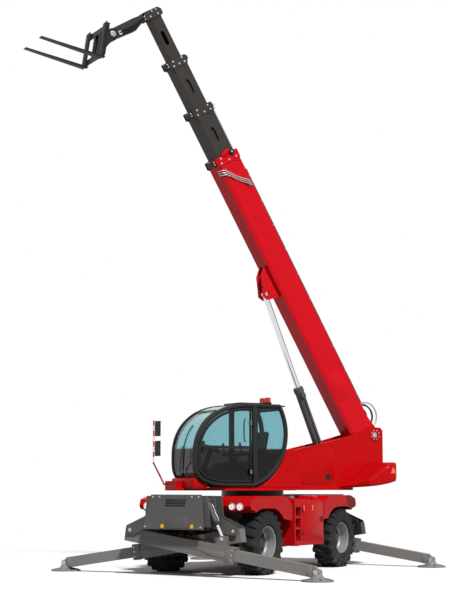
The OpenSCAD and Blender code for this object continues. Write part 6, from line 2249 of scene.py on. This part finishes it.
@dataclass
class Studio:
    """Floor, light and camera.

    Attributes:
        floor_half: Half of the floor's side.
        fade: Distances between which the floor that is seen turns white.
        distance: From the slew axis to the camera, along the ground.
        bearing: Direction of the camera from the slew axis, in degrees.
        height: Height of the camera.
        heading: Direction that the camera looks from, in degrees.
        pitch: How far it looks up, in degrees.
        lens: Focal length for a long side of the sensor of 24 mm.
        sun: Strength of the sun.
        sun_size: Angle that the sun's disc takes up, in degrees.
        sun_bearing: Direction of the sun, in degrees.
        sun_rise: Height of the sun over the ground, in degrees.
        sky: Strength of the sky light.
    """

    floor_half: float = 120.0
    fade: tuple[float, float] = (5.0, 10.0)
    distance: float = 27.806
    bearing: float = 59.75
    height: float = 1.613
    heading: float = 60.864
    pitch: float = 7.383
    lens: float = 56.912
    sun: float = 3.7
    sun_size: float = 6.0
    sun_bearing: float = 82.0
    sun_rise: float = 48.0
    sky: float = 0.25

    def build(self) -> None:
        """Builds the whole studio."""
        self.build_floor()
        self.build_sky()
        self.build_sun()
        self.build_camera()
        bpy.context.scene.view_settings.view_transform = "Standard"

    @staticmethod
    def shown(tree: Tree) -> Socket:
        """Gives an output that is 1 for each ray that shows the background."""
        rays = Nodes.add(tree, "LightPath")
        total = rays.outputs["Is Camera Ray"]
        for kind in ("Is Glossy Ray", "Is Transmission Ray"):
            both = Nodes.add(tree, "Math", "MAXIMUM")
            Nodes.wire(tree, (total, both.inputs[0]), (rays.outputs[kind], both.inputs[1]))
            total = both.outputs[0]
        return total

    def build_floor(self) -> None:
        """Builds a pale floor that fades into white where it is seen."""
        Bench.clear()
        bpy.ops.mesh.primitive_plane_add(size=2 * self.floor_half, location=(0.0, 0.0, 0.0))
        floor = bpy.context.object
        floor.name = "floor"
        material = bpy.data.materials.new("floor_pale")
        material.use_nodes = True
        tree = material.node_tree
        shader = tree.nodes["Principled BSDF"]
        shown = self.shown(tree)
        below, tone = Nodes.blend(tree, shown, (0.95, 0.95, 0.95))
        below.default_value = (0.40, 0.40, 0.40, 1.0)
        shader.inputs["Roughness"].default_value = 0.9
        shader.inputs["Specular IOR Level"].default_value = 0.0
        white = Nodes.add(tree, "Emission", Color=(1.0, 1.0, 1.0, 1.0))
        spot = Nodes.add(tree, "TexCoord")
        far = Nodes.add(tree, "VectorMath", "LENGTH")
        fade = Nodes.add(tree, "MapRange", From_Min=self.fade[0], From_Max=self.fade[1])
        seen = Nodes.times(tree)
        mix = Nodes.add(tree, "MixShader")
        Nodes.wire(
            tree, (tone, shader.inputs["Base Color"]), (spot.outputs["Object"], far.inputs[0]),
            (far.outputs["Value"], fade.inputs["Value"]), (fade.outputs[0], seen.inputs[0]),
            (shown, seen.inputs[1]), (seen.outputs[0], mix.inputs["Fac"]), (shader.outputs[0], mix.inputs[1]),
            (white.outputs[0], mix.inputs[2]),
            (mix.outputs[0], tree.nodes["Material Output"].inputs["Surface"]),
        )
        floor.data.materials.append(material)

    def build_sky(self) -> None:
        """Builds an even sky that is seen as white."""
        world = bpy.data.worlds.new("studio_sky")
        bpy.context.scene.world = world
        world.use_nodes = True
        tree = world.node_tree
        light = tree.nodes["Background"].inputs
        light["Color"].default_value = (1.0, 1.0, 1.0, 1.0)
        strength = Nodes.add(tree, "MapRange", To_Min=self.sky, To_Max=1.0)
        Nodes.wire(
            tree, (self.shown(tree), strength.inputs["Value"]), (strength.outputs[0], light["Strength"])
        )

    def build_sun(self) -> None:
        """Builds one soft sun, high on the machine's left."""
        light = bpy.data.lights.new("sun", "SUN")
        light.energy = self.sun
        light.angle = math.radians(self.sun_size)
        sun = bpy.data.objects.new("sun", light)
        bpy.context.scene.collection.objects.link(sun)
        turn, rise = math.radians(self.sun_bearing), math.radians(self.sun_rise)
        source = Vector((math.cos(turn) * math.cos(rise), math.sin(turn) * math.cos(rise), math.sin(rise)))
        sun.rotation_euler = source.to_track_quat("Z", "Y").to_euler()

    def build_camera(self) -> None:
        """Builds the camera where the photo was taken from."""
        lens = bpy.data.cameras.new("camera")
        lens.sensor_fit = "AUTO"
        lens.sensor_width = 24.0
        lens.lens = self.lens
        lens.clip_end = 500.0
        camera = bpy.data.objects.new("camera", lens)
        bpy.context.scene.collection.objects.link(camera)
        slew_x, slew_y, _ = JOINTS["slew"]["pos_m"]
        turn, look, rise = (math.radians(angle) for angle in (self.bearing, self.heading, self.pitch))
        camera.location = (
            slew_x + self.distance * math.cos(turn), slew_y + self.distance * math.sin(turn), self.height,
        )
        ahead = Vector((-math.cos(look) * math.cos(rise), -math.sin(look) * math.cos(rise), math.sin(rise)))
        camera.rotation_euler = ahead.to_track_quat("-Z", "Y").to_euler()
        bpy.context.scene.camera = camera


def main() -> None:
    """Dresses the machine, models its details and lights the studio."""
    logging.basicConfig(level=logging.INFO)
    palette = Palette()
    CadDress(palette).build()
    for assembly in (
        Wheel, Boom, FootHoses, ForkHead, LiftCylinder, Turret, Cab, DriverSeat, Chassis, Stabiliser
    ):
        assembly(palette).build()
        LOG.info("built %s", assembly.__name__)
    Studio().build()


if __name__ == "__main__":
    main()
